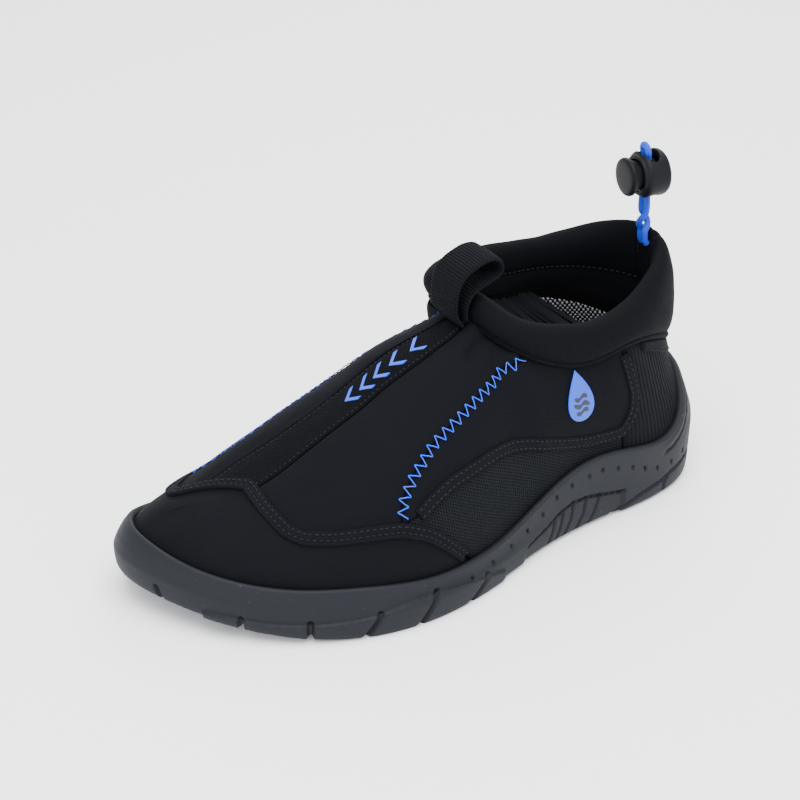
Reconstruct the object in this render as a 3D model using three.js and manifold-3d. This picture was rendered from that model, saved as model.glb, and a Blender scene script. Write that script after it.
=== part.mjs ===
// Low-cut neoprene water shoe for the left foot: rubber cup sole, panelled fabric
// upper, padded collar with a drawcord and a spring cord lock at the heel.
// Frame: +Z up, toe towards -Y, heel towards +Y, +X is the outer (lateral) side.
import * as THREE from 'three';
import { mergeVertices } from 'three/addons/utils/BufferGeometryUtils.js';
import Module from 'manifold-3d';

// ---------------------------------------------------------------- dimensions
const K = 0.9;               // all tables are drawn for a 255 long sole; K brings them to mm
const PANEL = 2.6;           // fabric panel thickness (table units)
const BOND = 0.4;            // clearance between bonded layers
const INSET = 4.5;           // feather line inset from the sole outline
const SOLE_FLOOR = 6.0;      // top of the rubber floor
const BOARD = [6.4, 7.6];    // lasting board, bottom and top
const FOOTBED = [7.9, 12.2]; // footbed, bottom and top
const SPRING = 11.5;          // toe spring height at the tip
const CORD_D = 2.5;          // drawcord diameter, mm
const STRAND = 1.55;         // half distance between the two strands, mm
const LOCK_Z = 118.5;        // cord lock centre height, mm
const EXIT = [0.8, 98.2, 92.0]; // cord exit on the inside of the collar, mm
const BARREL_R = 8.8, BUTTON_R = 7.2, STEM_R = 5.6;
const AZ = 77 * Math.PI / 180; // the cord lock is turned this far about the vertical
const PRESS = 2.4;           // button travel, mm

// sole outline, station 0 = heel centre, 1..12 lateral, 13 = toe tip, 14..25 medial
const OUT = [[2,127.5],[22,121.5],[33.5,105],[36.8,81],[36.8,56],[38.9,30],[44.1,5],[48.8,-20],[49.2,-45],[42.7,-70],[29.2,-93],[9.3,-112],[-14,-124],[-34.6,-127.5],[-50.3,-120.6],[-58,-106],[-58.8,-85],[-55,-60],[-48.5,-35],[-39,-10],[-32.6,15],[-30.5,40],[-31.5,65],[-32.6,88],[-29.4,108],[-17.9,121]];
const N = 26;
// upper edge of the wall: collar seam at the rear, instep ridge at the front
const TL = [[0,117,62],[14,111.5,63],[24.5,96,71],[29,74,75.5],[27,50,73.5],[18,25,84.5],[-1,13.5,95.5],[1,-16,86.5],[1,-37,75.8],[-2,-56,64.8],[-7,-73,53.4],[-13,-88,46],[-20,-99,42.5],[-27,-106,39]];
const TM = { 25: [-15,112,64], 24: [-25,96,72], 23: [-29,74,79], 22: [-27,50,83], 21: [-22,17,95.5] };
const B1L = [9,8,7,6,5,5,4,4,4,4,4,4,4,3], H1L = [22,22,24,26,28,34,38,37,33,28,23,17,13,10];
const B2L = [1,2,3,5,8,15,23,25,25,24,21,17,13,9], H2L = [18,18,20,18,14,11,5,1,1,1,1,1,1,1];
const B1M = [9,8,7,6,5,5,5,6,6,5,4,4,3,3], H1M = [22,22,24,28,34,42,47,46,42,36,28,20,14,10];
const B2M = [1,2,3,5,8,16,27,33,34,32,27,20,14,9], H2M = [18,18,20,20,18,13,2,-4,-4,-3,-2,-1,0,1];
const ZF = [10,10,10,10,10,10,9,8,8,8,8,8,8,8];
const SL = [0,0,0,0,0,0,-.45,-.5,-.54,-.57,-.5,-.4,-.42,-.6];
// height of the rubber edge on the wall, as a fraction of the wall
const RT = [.76,.72,.33,.26,.29,.17,.085,.08,.105,.155,.174,.215,.31,.42];
// collar rim centre line: 0 heel, 6 front, 7..11 medial
const RIM = [[0,114,106.5],[12,109.5,102.5],[20.5,93.5,95.5],[25,72,89.5],[24,48,90.2],[16,26,97.5],[-1,17,105.5],[-20,15.5,108],[-27,44,107],[-27,72,103],[-24,95,102.5],[-14,110,105]];

// ---------------------------------------------------------------- splines
function solve(A, b) {
  const n = b.length, M = A.map((r, i) => [...r, b[i]]);
  for (let i = 0; i < n; i++) {
    let p = i; for (let r = i + 1; r < n; r++) if (Math.abs(M[r][i]) > Math.abs(M[p][i])) p = r;
    [M[i], M[p]] = [M[p], M[i]];
    for (let r = 0; r < n; r++) if (r !== i) { const f = M[r][i] / M[i][i]; for (let c = i; c <= n; c++) M[r][c] -= f * M[i][c]; }
  }
  return M.map((r, i) => r[n] / r[i]);
}
function cub(v) {
  const n = v.length, A = v.map((_, i) => v.map((__, j) => (i === j ? 4 : (j === (i + 1) % n || j === (i - 1 + n) % n) ? 1 : 0)));
  const M = solve(A, v.map((x, i) => 6 * (v[(i + 1) % n] - 2 * x + v[(i - 1 + n) % n])));
  return s => { s = ((s % n) + n) % n; const i = Math.floor(s) % n, j = (i + 1) % n, t = s - Math.floor(s), a = 1 - t;
    return a * v[i] + t * v[j] + ((a * a * a - a) * M[i] + (t * t * t - t) * M[j]) / 6; };
}
function pch(v) {
  const n = v.length, d = v.map((x, i) => v[(i + 1) % n] - x);
  const m = v.map((_, i) => { const a = d[i], b = d[(i - 1 + n) % n]; return a * b > 0 ? 2 * a * b / (a + b) : 0; });
  return s => { s = ((s % n) + n) % n; const i = Math.floor(s) % n, j = (i + 1) % n, t = s - Math.floor(s), h = t * t * (3 - 2 * t);
    return v[i] * (1 - h) + v[j] * h + m[i] * t * (1 - t) ** 2 - m[j] * t * t * (1 - t); };
}
const add = (a, b, k = 1) => a.map((x, i) => x + k * b[i]);
const sub = (a, b) => a.map((x, i) => x - b[i]);
const dot = (a, b) => a.reduce((q, x, i) => q + x * b[i], 0);
const cross = (a, b) => [a[1]*b[2]-a[2]*b[1], a[2]*b[0]-a[0]*b[2], a[0]*b[1]-a[1]*b[0]];
const len = a => Math.hypot(...a);
const unit = a => { const l = len(a) || 1; return a.map(x => x / l); };
const mixLM = (L, M) => [...Array(N).keys()].map(k => k <= 13 ? L[k] : M[26 - k]);
const fox = cub(OUT.map(p => p[0])), foy = cub(OUT.map(p => p[1]));
const fo = s => [fox(s), foy(s)];
function no(s) { const d = unit(sub(fo(s + 0.02), fo(s - 0.02))); return [-d[1], d[0]]; }
const TT = [...Array(N).keys()].map(k => k <= 13 ? TL[k] : (TM[k] || TL[26 - k]));
const fTx = pch(TT.map(p => p[0])), fTy = cub(TT.map(p => p[1])), fTz = cub(TT.map(p => p[2]));
const fB1 = cub(mixLM(B1L, B1M)), fH1 = cub(mixLM(H1L, H1M)), fB2 = cub(mixLM(B2L, B2M)), fH2 = cub(mixLM(H2L, H2M));
const fZ = cub(mixLM(ZF, ZF)), fS = cub(mixLM(SL, SL)), fR = cub(mixLM(RT, RT));
const spring = y => SPRING * Math.min(Math.max((-55 - y) / 72.5, 0), 1.1) ** 2;
// wall surface: s is the station, t runs from the feather line (0) to the upper edge (1)
function S(s, t) {
  const o = fo(s), n = no(s), F = [o[0] - n[0] * INSET, o[1] - n[1] * INSET, fZ(s) + spring(o[1])];
  const T = [fTx(s), fTy(s), fTz(s)], b1 = fB1(s), b2 = fB2(s);
  const P1 = [F[0] + n[0] * b1, F[1] + n[1] * b1, F[2] + fH1(s)];
  const P2 = [T[0] + n[0] * b2, T[1] + n[1] * b2 * 0.7, T[2] - n[1] * 0.7 * fS(s) * b2 - fH2(s)];
  const a = 1 - t, w = [a*a*a, 3*a*a*t, 3*a*t*t, t*t*t];
  return [0, 1, 2].map(i => w[0]*F[i] + w[1]*P1[i] + w[2]*P2[i] + w[3]*T[i]);
}
// across the instep: w 0..1 is the lateral wall, 1..2 the medial wall
const E = (s, w) => w <= 1 ? S(s, w) : S(26 - s, 2 - w);
function nrm(f, s, w, lo, hi) {
  const e = 0.004, du = sub(f(s + e, w), f(s - e, w)), dv = sub(f(s, Math.min(w + e, hi)), f(s, Math.max(w - e, lo)));
  return unit(cross(dv, du));
}
const nE = (s, w) => nrm(E, s, w, 0, 2), nS = (s, t) => nrm(S, s, t, 0, 1);

// ---------------------------------------------------------------- mesh builder
class Builder {
  constructor() { this.v = []; this.key = new Map(); this.t = []; }
  p(q) { const k = q.map(x => Math.round(x * 2e3)).join(','); if (!this.key.has(k)) { this.key.set(k, this.v.length); this.v.push(q); } return this.key.get(k); }
  tri(a, b, c) { const i = this.p(a), j = this.p(b), k = this.p(c); if (i !== j && j !== k && k !== i) this.t.push(i, j, k); }
  quad(a, b, c, d) { this.tri(a, b, c); this.tri(a, c, d); }
  geo(scale = K) {
    const V = this.v; let vol = 0;
    for (let i = 0; i < this.t.length; i += 3) vol += dot(V[this.t[i]], cross(V[this.t[i+1]], V[this.t[i+2]]));
    const T = this.t.slice(); if (vol < 0) for (let i = 0; i < T.length; i += 3) [T[i+1], T[i+2]] = [T[i+2], T[i+1]];
    const g = new THREE.BufferGeometry();
    g.setAttribute('position', new THREE.Float32BufferAttribute(V.flatMap(q => q.map(x => x * scale)), 3));
    g.setIndex(T); return g;
  }
}
// solid between two matching grids of points
function slab(top, bot, scale) {
  const b = new Builder(), m = top.length - 1, n = top[0].length - 1;
  for (let i = 0; i < m; i++) for (let j = 0; j < n; j++) {
    b.quad(top[i][j], top[i+1][j], top[i+1][j+1], top[i][j+1]);
    b.quad(bot[i][j], bot[i][j+1], bot[i+1][j+1], bot[i+1][j]);
  }
  return { b, m, n, top, bot, scale };
}
function closeSlab(o, sides = 'LRBT') {
  const { b, m, n, top, bot } = o;
  for (let i = 0; i < m; i++) {
    if (sides.includes('B')) b.quad(top[i][0], bot[i][0], bot[i+1][0], top[i+1][0]);
    if (sides.includes('T')) b.quad(top[i][n], top[i+1][n], bot[i+1][n], bot[i][n]);
  }
  for (let j = 0; j < n; j++) {
    if (sides.includes('L')) b.quad(top[0][j], top[0][j+1], bot[0][j+1], bot[0][j]);
    if (sides.includes('R')) b.quad(top[m][j], bot[m][j], bot[m][j+1], top[m][j+1]);
  }
  return b.geo(o.scale ?? K);
}
// polyline of surface parameters, resampled evenly by its length in space
function along(f, poly, n) {
  const fine = [];
  for (let i = 0; i < poly.length - 1; i++) for (let k = 0; k < 12; k++) { const t = k / 12; fine.push([0, 1].map(c => poly[i][c] * (1 - t) + poly[i+1][c] * t)); }
  fine.push(poly[poly.length - 1]);
  const P = fine.map(q => f(...q)), L = [0];
  for (let i = 1; i < P.length; i++) L.push(L[i-1] + len(sub(P[i], P[i-1])));
  const r = [];
  for (let k = 0; k <= n; k++) {
    const d = L[L.length-1] * k / n; let i = 1; while (i < L.length - 1 && L[i] < d) i++;
    const t = L[i] > L[i-1] ? Math.min(Math.max((d - L[i-1]) / (L[i] - L[i-1]), 0), 1) : 0;
    r.push([0, 1].map(c => fine[i-1][c] * (1 - t) + fine[i][c] * t));
  }
  return r;
}
// four-sided panel on the wall: bottom/top run the same way, left/right join them
function panel(f, nf, bottom, top, left, right, nu, nv, d0, d1, gap = 0.42) {
  const B = along(f, bottom, nu), Tp = along(f, top, nu), L = along(f, left, nv), R = along(f, right, nv), P = [], Q = [];
  for (let i = 0; i <= nu; i++) { P.push([]); Q.push([]); for (let j = 0; j <= nv; j++) {
    const u = i / nu, v = j / nv, c = [0, 1].map(k => (1-v)*B[i][k] + v*Tp[i][k] + (1-u)*L[j][k] + u*R[j][k]
      - ((1-u)*(1-v)*B[0][k] + u*(1-v)*B[nu][k] + (1-u)*v*Tp[0][k] + u*v*Tp[nu][k]));
    P[i].push(f(...c)); Q[i].push(nf(...c));
  } }
  const G = P.map((r, i) => r.map((p, j) => {
    let q = p;
    if (i === 0) q = add(q, unit(sub(P[1][j], p)), gap); if (i === nu) q = add(q, unit(sub(P[nu-1][j], p)), gap);
    if (j === 0) q = add(q, unit(sub(P[i][1], p)), gap); if (j === nv) q = add(q, unit(sub(P[i][nv-1], p)), gap);
    return q;
  }));
  const top_ = G.map((r, i) => r.map((p, j) => add(p, Q[i][j], d1))), bot = G.map((r, i) => r.map((p, j) => add(p, Q[i][j], d0)));
  return closeSlab(slab(top_, bot));
}
// strip of tape laid along a line on the wall
function band(f, nf, line, n, half, d0, d1) {
  const L = along(f, line, n), P = L.map(q => f(...q)), Q = L.map(q => nf(...q)), top = [], bot = [];
  for (let i = 0; i <= n; i++) {
    const t = unit(sub(P[Math.min(i+1, n)], P[Math.max(i-1, 0)])), b = unit(cross(Q[i], t));
    const at = (k, d) => add(add(P[i], b, k), Q[i], d);
    top.push([at(-half, d1 - 0.35), at(0, d1), at(half, d1 - 0.35)]); bot.push([at(-half, d0), at(0, d0), at(half, d0)]);
  }
  return closeSlab(slab(top, bot));
}
const group = new THREE.Group();
function put(name, geo, color, rough, metal = 0) {
  const m = new THREE.Mesh(geo, new THREE.MeshStandardMaterial({ color, roughness: rough, metalness: metal })); m.name = name; group.add(m); return m;
}

// ---------------------------------------------------------------- sole parts
const xm = y => { const A = [[-98,-20],[-90,-16],[-65,-6],[-40,.5],[-15,5],[10,5.3],[35,4],[60,2.3],[100,2]];
  for (let i = 1; i < A.length; i++) if (y <= A[i][0]) { const t = (y - A[i-1][0]) / (A[i][0] - A[i-1][0]); return A[i-1][1] + t * (A[i][1] - A[i-1][1]); } return 2; };
const spine = s => { const y = Math.min(Math.max((foy(s) + foy(26 - s)) / 2, -98), 100); return [xm(y), y]; };
function disc(b, ring, z, rows, flip) {
  const n = ring.length, pt = (i, f) => { const s = i * N / n, c = spine(s > 13 ? 26 - s : s), q = [c[0] + (ring[i][0] - c[0]) * f, c[1] + (ring[i][1] - c[1]) * f]; return f === 1 ? ring[i] : [...q, z(q[1])]; };
  for (let i = 0; i < n; i++) for (let r = 0; r < rows.length - 1; r++) {
    const j = (i + 1) % n, a = pt(i, rows[r]), c = pt(i, rows[r+1]), d = pt(j, rows[r+1]), e = pt(j, rows[r]);
    flip ? b.quad(a, e, d, c) : b.quad(a, c, d, e);
  }
}
const NS = 78;
const stations = n => [...Array(n).keys()].map(i => i * N / n);
const rows = [0, 0.4, 0.75, 1];
function plate(inset, z0, z1, n = NS) {
  const b = new Builder(), st = stations(n);
  const ring = z => st.map(s => { const o = fo(s), m = no(s), q = [o[0] - m[0]*inset, o[1] - m[1]*inset]; return [...q, z + spring(q[1])]; });
  const R0 = ring(z0), R1 = ring(z1);
  disc(b, R0, y => z0 + spring(y), rows, true); disc(b, R1, y => z1 + spring(y), rows, false);
  for (let i = 0; i < n; i++) { const j = (i + 1) % n; b.quad(R0[i], R0[j], R1[j], R1[i]); }
  return b.geo();
}
function outsoleGeo() {
  const b = new Builder(), st = stations(NS);
  const sec = st.map(s => {
    const o = fo(s), n = no(s), z = spring(o[1]), r = fR(s), W = (t, d) => add(S(s, t), nS(s, t), d);
    const oz = (k, h) => [o[0] + n[0]*k, o[1] + n[1]*k, z + h];
    const F = S(s, 0), big = r > 0.4;
    return [
      [o[0] - n[0]*2.2, o[1] - n[1]*2.2, spring(o[1])], oz(0, 2.6), oz(0.6, 9),
      W(r * 0.45, 3.4), W(r * 0.75, 3.0), W(r * 0.97, 2.3), W(r, BOND + 0.5), W(r * 0.99, BOND),
      ...[.85,.7,.55,.4,.25,.12,.004].map(q => W(r * q, BOND + .15)), [F[0] + n[0]*BOND, F[1] + n[1]*BOND, SOLE_FLOOR + spring(F[1] + n[1]*BOND)]];
  });
  const m = sec[0].length;
  for (let i = 0; i < NS; i++) { const j = (i + 1) % NS; for (let k = 0; k < m - 1; k++) b.quad(sec[i][k], sec[j][k], sec[j][k+1], sec[i][k+1]); }
  // ring order is clockwise seen from above
  disc(b, sec.map(q => q[0]), y => spring(y), rows, true);
  disc(b, sec.map(q => q[m-1]), y => SOLE_FLOOR + spring(y), rows, false);
  return b;
}
const wasm = await Module(); wasm.setup();
function toMan(g) {
  g = g.clone(); g.deleteAttribute('normal'); g.deleteAttribute('uv'); g = mergeVertices(g, 1e-4);
  return new wasm.Manifold(new wasm.Mesh({ numProp: 3, vertProperties: new Float32Array(g.attributes.position.array), triVerts: new Uint32Array(g.index.array) }));
}
function fromMan(m) {
  const q = m.getMesh(), g = new THREE.BufferGeometry();
  g.setAttribute('position', new THREE.Float32BufferAttribute(Array.from(q.vertProperties), 3)); g.setIndex(Array.from(q.triVerts)); return g;
}
let sole = toMan(outsoleGeo().geo());
// tread slots right across the forefoot and heel
for (const [y, a] of [[-66, 0.16], [-48, 0.12], [-12, -0.1], [62, 0.08], [100, -0.06]]) {
  const g = new THREE.BoxGeometry(150, 2.4, 3.6); g.rotateZ(a); g.translate(0, y * K, spring(y) * K);
  sole = sole.subtract(toMan(g));
}
put('outsole', fromMan(sole), 0x2d3137, 0.75);
put('strobel_board', plate(5.4, BOARD[0], BOARD[1]), 0x5b5d60, 0.9);
put('footbed', plate(7.7, FOOTBED[0], FOOTBED[1]), 0x3a3b3e, 0.95);

// ---------------------------------------------------------------- upper panels
const CAP = [[6.75,0],[6.78,.039],[7.14,.128],[7.72,.262],[8.23,.344],[8.71,.385],[9.25,.424],[9.7,.468],[9.96,.54],[10.28,.73],[10.54,.914],[10.65,1.0],[10.78,1.068],[11.14,1.278],[11.33,1.385],[11.2,1.46],[10.9,1.532],[10.4,1.576],[9.4,1.656],[8.6,1.738],[7.7,1.872],[7.2,2.0]];
const cutCap = (w0, w1) => { // part of the cap line between two values of w
  const at = w => { for (let i = 1; i < CAP.length; i++) if (w <= CAP[i][1]) { const t = (w - CAP[i-1][1]) / (CAP[i][1] - CAP[i-1][1]); return [CAP[i-1][0] + t * (CAP[i][0] - CAP[i-1][0]), w]; } return CAP[CAP.length-1]; };
  return [at(w0), ...CAP.filter(q => q[1] > w0 + 1e-6 && q[1] < w1 - 1e-6), at(w1)];
};
const rev = a => a.slice().reverse();
const ZL = [[8.2,.350],[8.1,.45],[7.84,.511],[7.36,.567],[6.76,.59],[6.11,.62],[5.47,.72],[5.0,.90],[4.87,.985]];
const ZM = [[10.4,1.576],[10,1.49],[9,1.41],[8,1.36],[7,1.33],[6.2,1.29],[5.47,1.22],[5.0,1.08],[4.87,1.015]];
const QL = [[8.2,.350],[7.9,.355],[7.58,.383],[7.18,.397],[6.49,.386],[5.77,.376],[4.71,.405],[3.84,.404],[3.34,.394]];
const QM = [[8.9,1.697],[8.3,1.64],[7.58,1.612],[7.18,1.603],[6.49,1.614],[5.77,1.624],[4.71,1.595],[3.84,1.596],[3.34,1.606]];
const BACK = [[3.34,.394],[3.07,.504],[2.96,.616],[2.98,.766],[3.05,.985]];
const SR = [[10.56,.95],[9.45,.97],[8.5,.965],[7.6,.95],[6.9,.92],[6.4,.905],[6.05,.91]];
const SM = [[11.1,1.262],[10.25,1.24],[9.5,1.18],[8.81,1.143],[8.16,1.138],[6.98,1.10],[6.05,1.10]];
const mirror = a => a.map(([s, w]) => [s, 2 - w]);
const CLO = 0x1d1e22;
const IN = -PANEL;
// toe cap: grid over w, running from the cap line to the toe tip
{
  const H = [.077,.18,.274,.385,.46,.52,.576,.615,.656,.738,.8,.872,.94,1];
  const ws = [...H.map(h => 1 - h).reverse(), 1, ...H.map(h => 1 + h)];
  const line = w => cutCap(w, Math.max(w, w))[0];
  const nu = 13, top = [], bot = [];
  for (let i = 0; i <= nu; i++) { top.push([]); bot.push([]); for (const w of ws) {
    const c = line(w), s = c[0] + (13 - c[0]) * (i / nu); let p = E(s, w);
    const n = i === nu && w > 1 ? nE(s, 2 - w) : nE(s, w);
    if (i === nu) p = E(13, w > 1 ? 2 - w : w);
    if (i === 0) p = add(p, unit(sub(E(s + 0.3, w), p)), 0.9);
    top[i].push(add(p, n, 0)); bot[i].push(add(p, n, IN));
  } }
  put('toe_cap', closeSlab(slab(top, bot), 'LBT'), 0x1b1c20, 0.85);
}
put('vamp_lateral', panel(E, nE, ZL, SR, cutCap(.350, .95), [[4.87,.985],[5.4,.955],[6.05,.91]], 16, 8, IN, 0), CLO, 0.9);
put('vamp_medial', panel(E, nE, ZM, SM, rev(cutCap(1.262, 1.576)), [[4.87,1.015],[5.4,1.05],[6.05,1.10]], 16, 8, IN, 0, .7), CLO, 0.9);
put('instep_strip', panel(E, nE, SR, SM, cutCap(.95, 1.262), [[6.05,.91],[6.1,1.0],[6.05,1.10]], 16, 4, IN, 0.25), 0x141519, 0.8);
put('quarter_lateral', panel(E, nE, rev(QL.slice(1)), [[3.05,.985],[4.0,.985],...rev(ZL.slice(1)).slice(0, -1),[8.0,.475]], BACK, [[7.9,.355],[8.0,.475]], 20, 8, IN, 0, .5), CLO, 0.9);
put('quarter_medial', panel(E, nE, rev(QM), [[3.05,1.015],[4.0,1.015],...rev(ZM)], mirror(BACK), rev(cutCap(1.576, 1.697)), 20, 8, IN, 0, .8), CLO, 0.9);
put('mesh_lateral', panel(E, nE, [[3.34,0],[4.5,0],[6.75,0]], rev(QL), [[3.34,0],[3.34,.394]], cutCap(0, .350), 16, 4, IN, -0.2, .8), 0x33353b, 0.95);
put('mesh_medial', panel(E, nE, [[3.34,2],[4.5,2],[7.2,2]], rev(QM), [[3.34,2],[3.34,1.606]], rev(cutCap(1.697, 2)), 16, 4, IN, -0.2, .8), 0x33353b, 0.95);
const neg = a => a.map(([s, t]) => [-s, t]);
put('heel_panel', panel(S, nS, [[-3.34,0],[0,0],[3.34,0]], [[-3.05,.985],[0,.985],[3.05,.985]], [[-3.34,0],...neg(BACK)], [[3.34,0],...BACK], 24, 10, IN, 0, 0.6), 0x212328, 0.95);
// ---------------------------------------------------------------- tapes and overlays
const LAY = 0.4;
put('toe_cap_binding', band(E, nE, cutCap(.155, 1.85), 34, 2.6, LAY, LAY + 1.1), 0x202227, 0.8);
put('quarter_binding_lateral', band(E, nE, [[7.85,.358],...QL.slice(2), ...BACK.slice(1, 4), [3.0,.86]], 22, 2.5, LAY, LAY + 1.1), 0x202227, 0.8);
put('quarter_binding_medial', band(E, nE, [...QM.slice(2), ...mirror(BACK.slice(1, 4)), [3.0,1.14]], 22, 2.5, LAY, LAY + 1.1), 0x202227, 0.8);
put('heel_overlay', panel(S, nS, [[-2.55,.90],[-1.9,.86],[0,.84],[1.9,.86],[2.55,.90]], [[-2.55,.975],[0,.975],[2.55,.975]], [[-2.55,.90],[-2.55,.975]], [[2.55,.90],[2.55,.975]], 16, 2, LAY, LAY + 0.9, 0), 0x26282d, 0.85);
// ---------------------------------------------------------------- collar
const col = i => RIM.map((_, k) => (k <= 6 ? TL[k] : TM[14 + k])[i]);
const cT = [0, 1, 2].map(i => cub(col(i))), cR = [0, 1, 2].map(i => cub(RIM.map(q => q[i])));
const seamP = c => cT.map(f => f(c)), rimP = c => cR.map(f => f(c));
function collarN(c) { const m = q => seamP(q).map((x, i) => (x + rimP(q)[i]) / 2), a = m(c - 0.05), b = m(c + 0.05), d = unit([b[0]-a[0], b[1]-a[1]]); return [-d[1], d[0], 0]; }
{
  const b = new Builder(), n = 48, SEC = [[0.02,.9],[.14,3.2],[.4,4.9],[.68,4.9],[.88,3.7],[.985,1.6],[1.0,-.6],[.95,-2.8],[.82,-4.2],[.6,-4.4],[.3,-3.8],[.03,-2.6]];
  const ring = [...Array(n).keys()].map(i => { const c = i * 12 / n, B = add(seamP(c), [0, 0, 1], 0.9), R = rimP(c), nn = collarN(c), pin = 1 - .8 * Math.exp(-(((c - 6.15) / .5) ** 2)); return SEC.map(([f, o]) => add(B.map((x, k) => x + (R[k] - x) * f), nn, o > 0 ? o * pin : o)); });
  for (let i = 0; i < n; i++) { const A = ring[i], C = ring[(i + 1) % n]; for (let k = 0; k < SEC.length; k++) { const l = (k + 1) % SEC.length; b.quad(A[k], C[k], C[l], A[l]); } }
  put('collar', b.geo(), 0x1e1f23, 0.9);
}
// ---------------------------------------------------------------- pull loop over the front of the collar
{
  const mid = [[7.9,95.2],[5.2,99.5],[4.7,106],[6.1,112],[9.5,116],[15,118.4],[21,119.5],[25.5,118.5],[27.9,115.3],[27,112.2],[22.5,110.6],[16.8,108.9],[12.2,106.4],[9.9,102],[9.9,96.6]].map(q => new THREE.Vector2(...q));
  const pts = new THREE.SplineCurve(mid).getPoints(36), h = 0.8, L = [], R = [];
  for (let i = 0; i < pts.length; i++) { const d = pts[Math.min(i+1, pts.length-1)].clone().sub(pts[Math.max(i-1, 0)]).normalize(); L.push([pts[i].x - d.y*h, pts[i].y + d.x*h]); R.push([pts[i].x + d.y*h, pts[i].y - d.x*h]); }
  const sh = new THREE.Shape([...L, ...R.reverse()].map(q => new THREE.Vector2(q[0]*K, q[1]*K)));
  const g = new THREE.ExtrudeGeometry(sh, { depth: 16 * K, bevelEnabled: false });
  // shape x -> Y, shape y -> Z, depth -> X
  g.applyMatrix4(new THREE.Matrix4().set(0, 0, 1, -9 * K, 1, 0, 0, 0, 0, 1, -0.1, 1.6 * K, 0, 0, 0, 1));
  put('pull_loop', g, 0x17181b, 0.9);
}
// ---------------------------------------------------------------- side badges (plain water-drop shape)
function badge(f, nf, s0, w0, sgn, name) {
  const P = f(s0, w0), n = nf(s0, w0), up0 = [0, 0, 1], u = unit(cross(up0, n)), v = unit(cross(n, u));
  const sh = new THREE.Shape(), Wd = 7.4 * K, H = 11.8 * K;
  sh.moveTo(0, H); sh.bezierCurveTo(Wd*0.45, H*0.45, Wd, H*0.1, Wd, -H*0.38); sh.bezierCurveTo(Wd, -H*0.85, Wd*0.5, -H, 0, -H);
  sh.bezierCurveTo(-Wd*0.5, -H, -Wd, -H*0.85, -Wd, -H*0.38); sh.bezierCurveTo(-Wd, H*0.1, -Wd*0.45, H*0.45, 0, H);
  const g = new THREE.ExtrudeGeometry(sh, { depth: 0.8, bevelEnabled: false, curveSegments: 7 });
  const q = add(P.map(x => x * K), n, 1.5);
  g.applyMatrix4(new THREE.Matrix4().set(u[0], v[0], n[0], q[0], u[1], v[1], n[1], q[1], u[2], v[2], n[2], q[2], 0, 0, 0, 1));
  put(name, g, 0x4f7fe0, 0.5);
}
badge(E, nE, 4.12, 0.76, 1, 'badge_lateral');
badge(E, nE, 4.12, 1.24, -1, 'badge_medial');

// ---------------------------------------------------------------- drawcord and cord lock (mm)
const A3 = [Math.cos(AZ), Math.sin(AZ), 0], B3 = [-Math.sin(AZ), Math.cos(AZ), 0];
const C0 = EXIT;
const lockAt = (a, bb, z) => [C0[0] + A3[0]*a + B3[0]*bb, C0[1] + A3[1]*a + B3[1]*bb, z];
{
  // two strands side by side out of the collar, one half-turn above the rim, up through the lock and over
  const zb = EXIT[2], z1 = zb + 4.2, zt = LOCK_Z + 10.2, pts = [lockAt(0, -STRAND, zb), lockAt(0, -STRAND, zb + 2)];
  for (let i = 0; i <= 6; i++) { const ang = Math.PI * i / 6 - Math.PI / 2; pts.push(lockAt(STRAND * Math.cos(ang), STRAND * Math.sin(ang), z1 + 7 * i / 6)); }
  pts.push(lockAt(0, STRAND, LOCK_Z), lockAt(0, STRAND, zt - 2));
  for (let i = 1; i < 6; i++) { const a = Math.PI * i / 6; pts.push(lockAt(0, STRAND * Math.cos(a), zt - 1 + 2.2 * Math.sin(a))); }
  pts.push(lockAt(0, -STRAND, zt - 2), lockAt(0, -STRAND, LOCK_Z));
  for (let i = 6; i >= 0; i--) { const ang = Math.PI * i / 6 + Math.PI / 2; pts.push(lockAt(STRAND * Math.cos(ang), STRAND * Math.sin(ang), z1 + 7 * i / 6)); }
  pts.push(lockAt(0, STRAND, zb + 2), lockAt(0, STRAND, zb));
  const curve = new THREE.CatmullRomCurve3(pts.map(p => new THREE.Vector3(...p)), false, 'centripetal');
  const sh = new THREE.Shape([...Array(8).keys()].map(i => new THREE.Vector2(CORD_D/2 * Math.cos(i*Math.PI/4), CORD_D/2 * Math.sin(i*Math.PI/4))));
  put('drawcord', new THREE.ExtrudeGeometry(sh, { steps: 66, bevelEnabled: false, extrudePath: curve }), 0x6f95ea, 0.7);
}
function lathe(profile, seg) { const g = new THREE.LatheGeometry(profile.map(q => new THREE.Vector2(...q)), seg); return g; }
const alongA = g => { // lathe axis (Y) onto the lock axis, centred on the strands
  g.applyMatrix4(new THREE.Matrix4().set(-B3[0], A3[0], 0, C0[0], -B3[1], A3[1], 0, C0[1], 0, 0, 1, LOCK_Z, 0, 0, 0, 1)); return g; };
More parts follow.
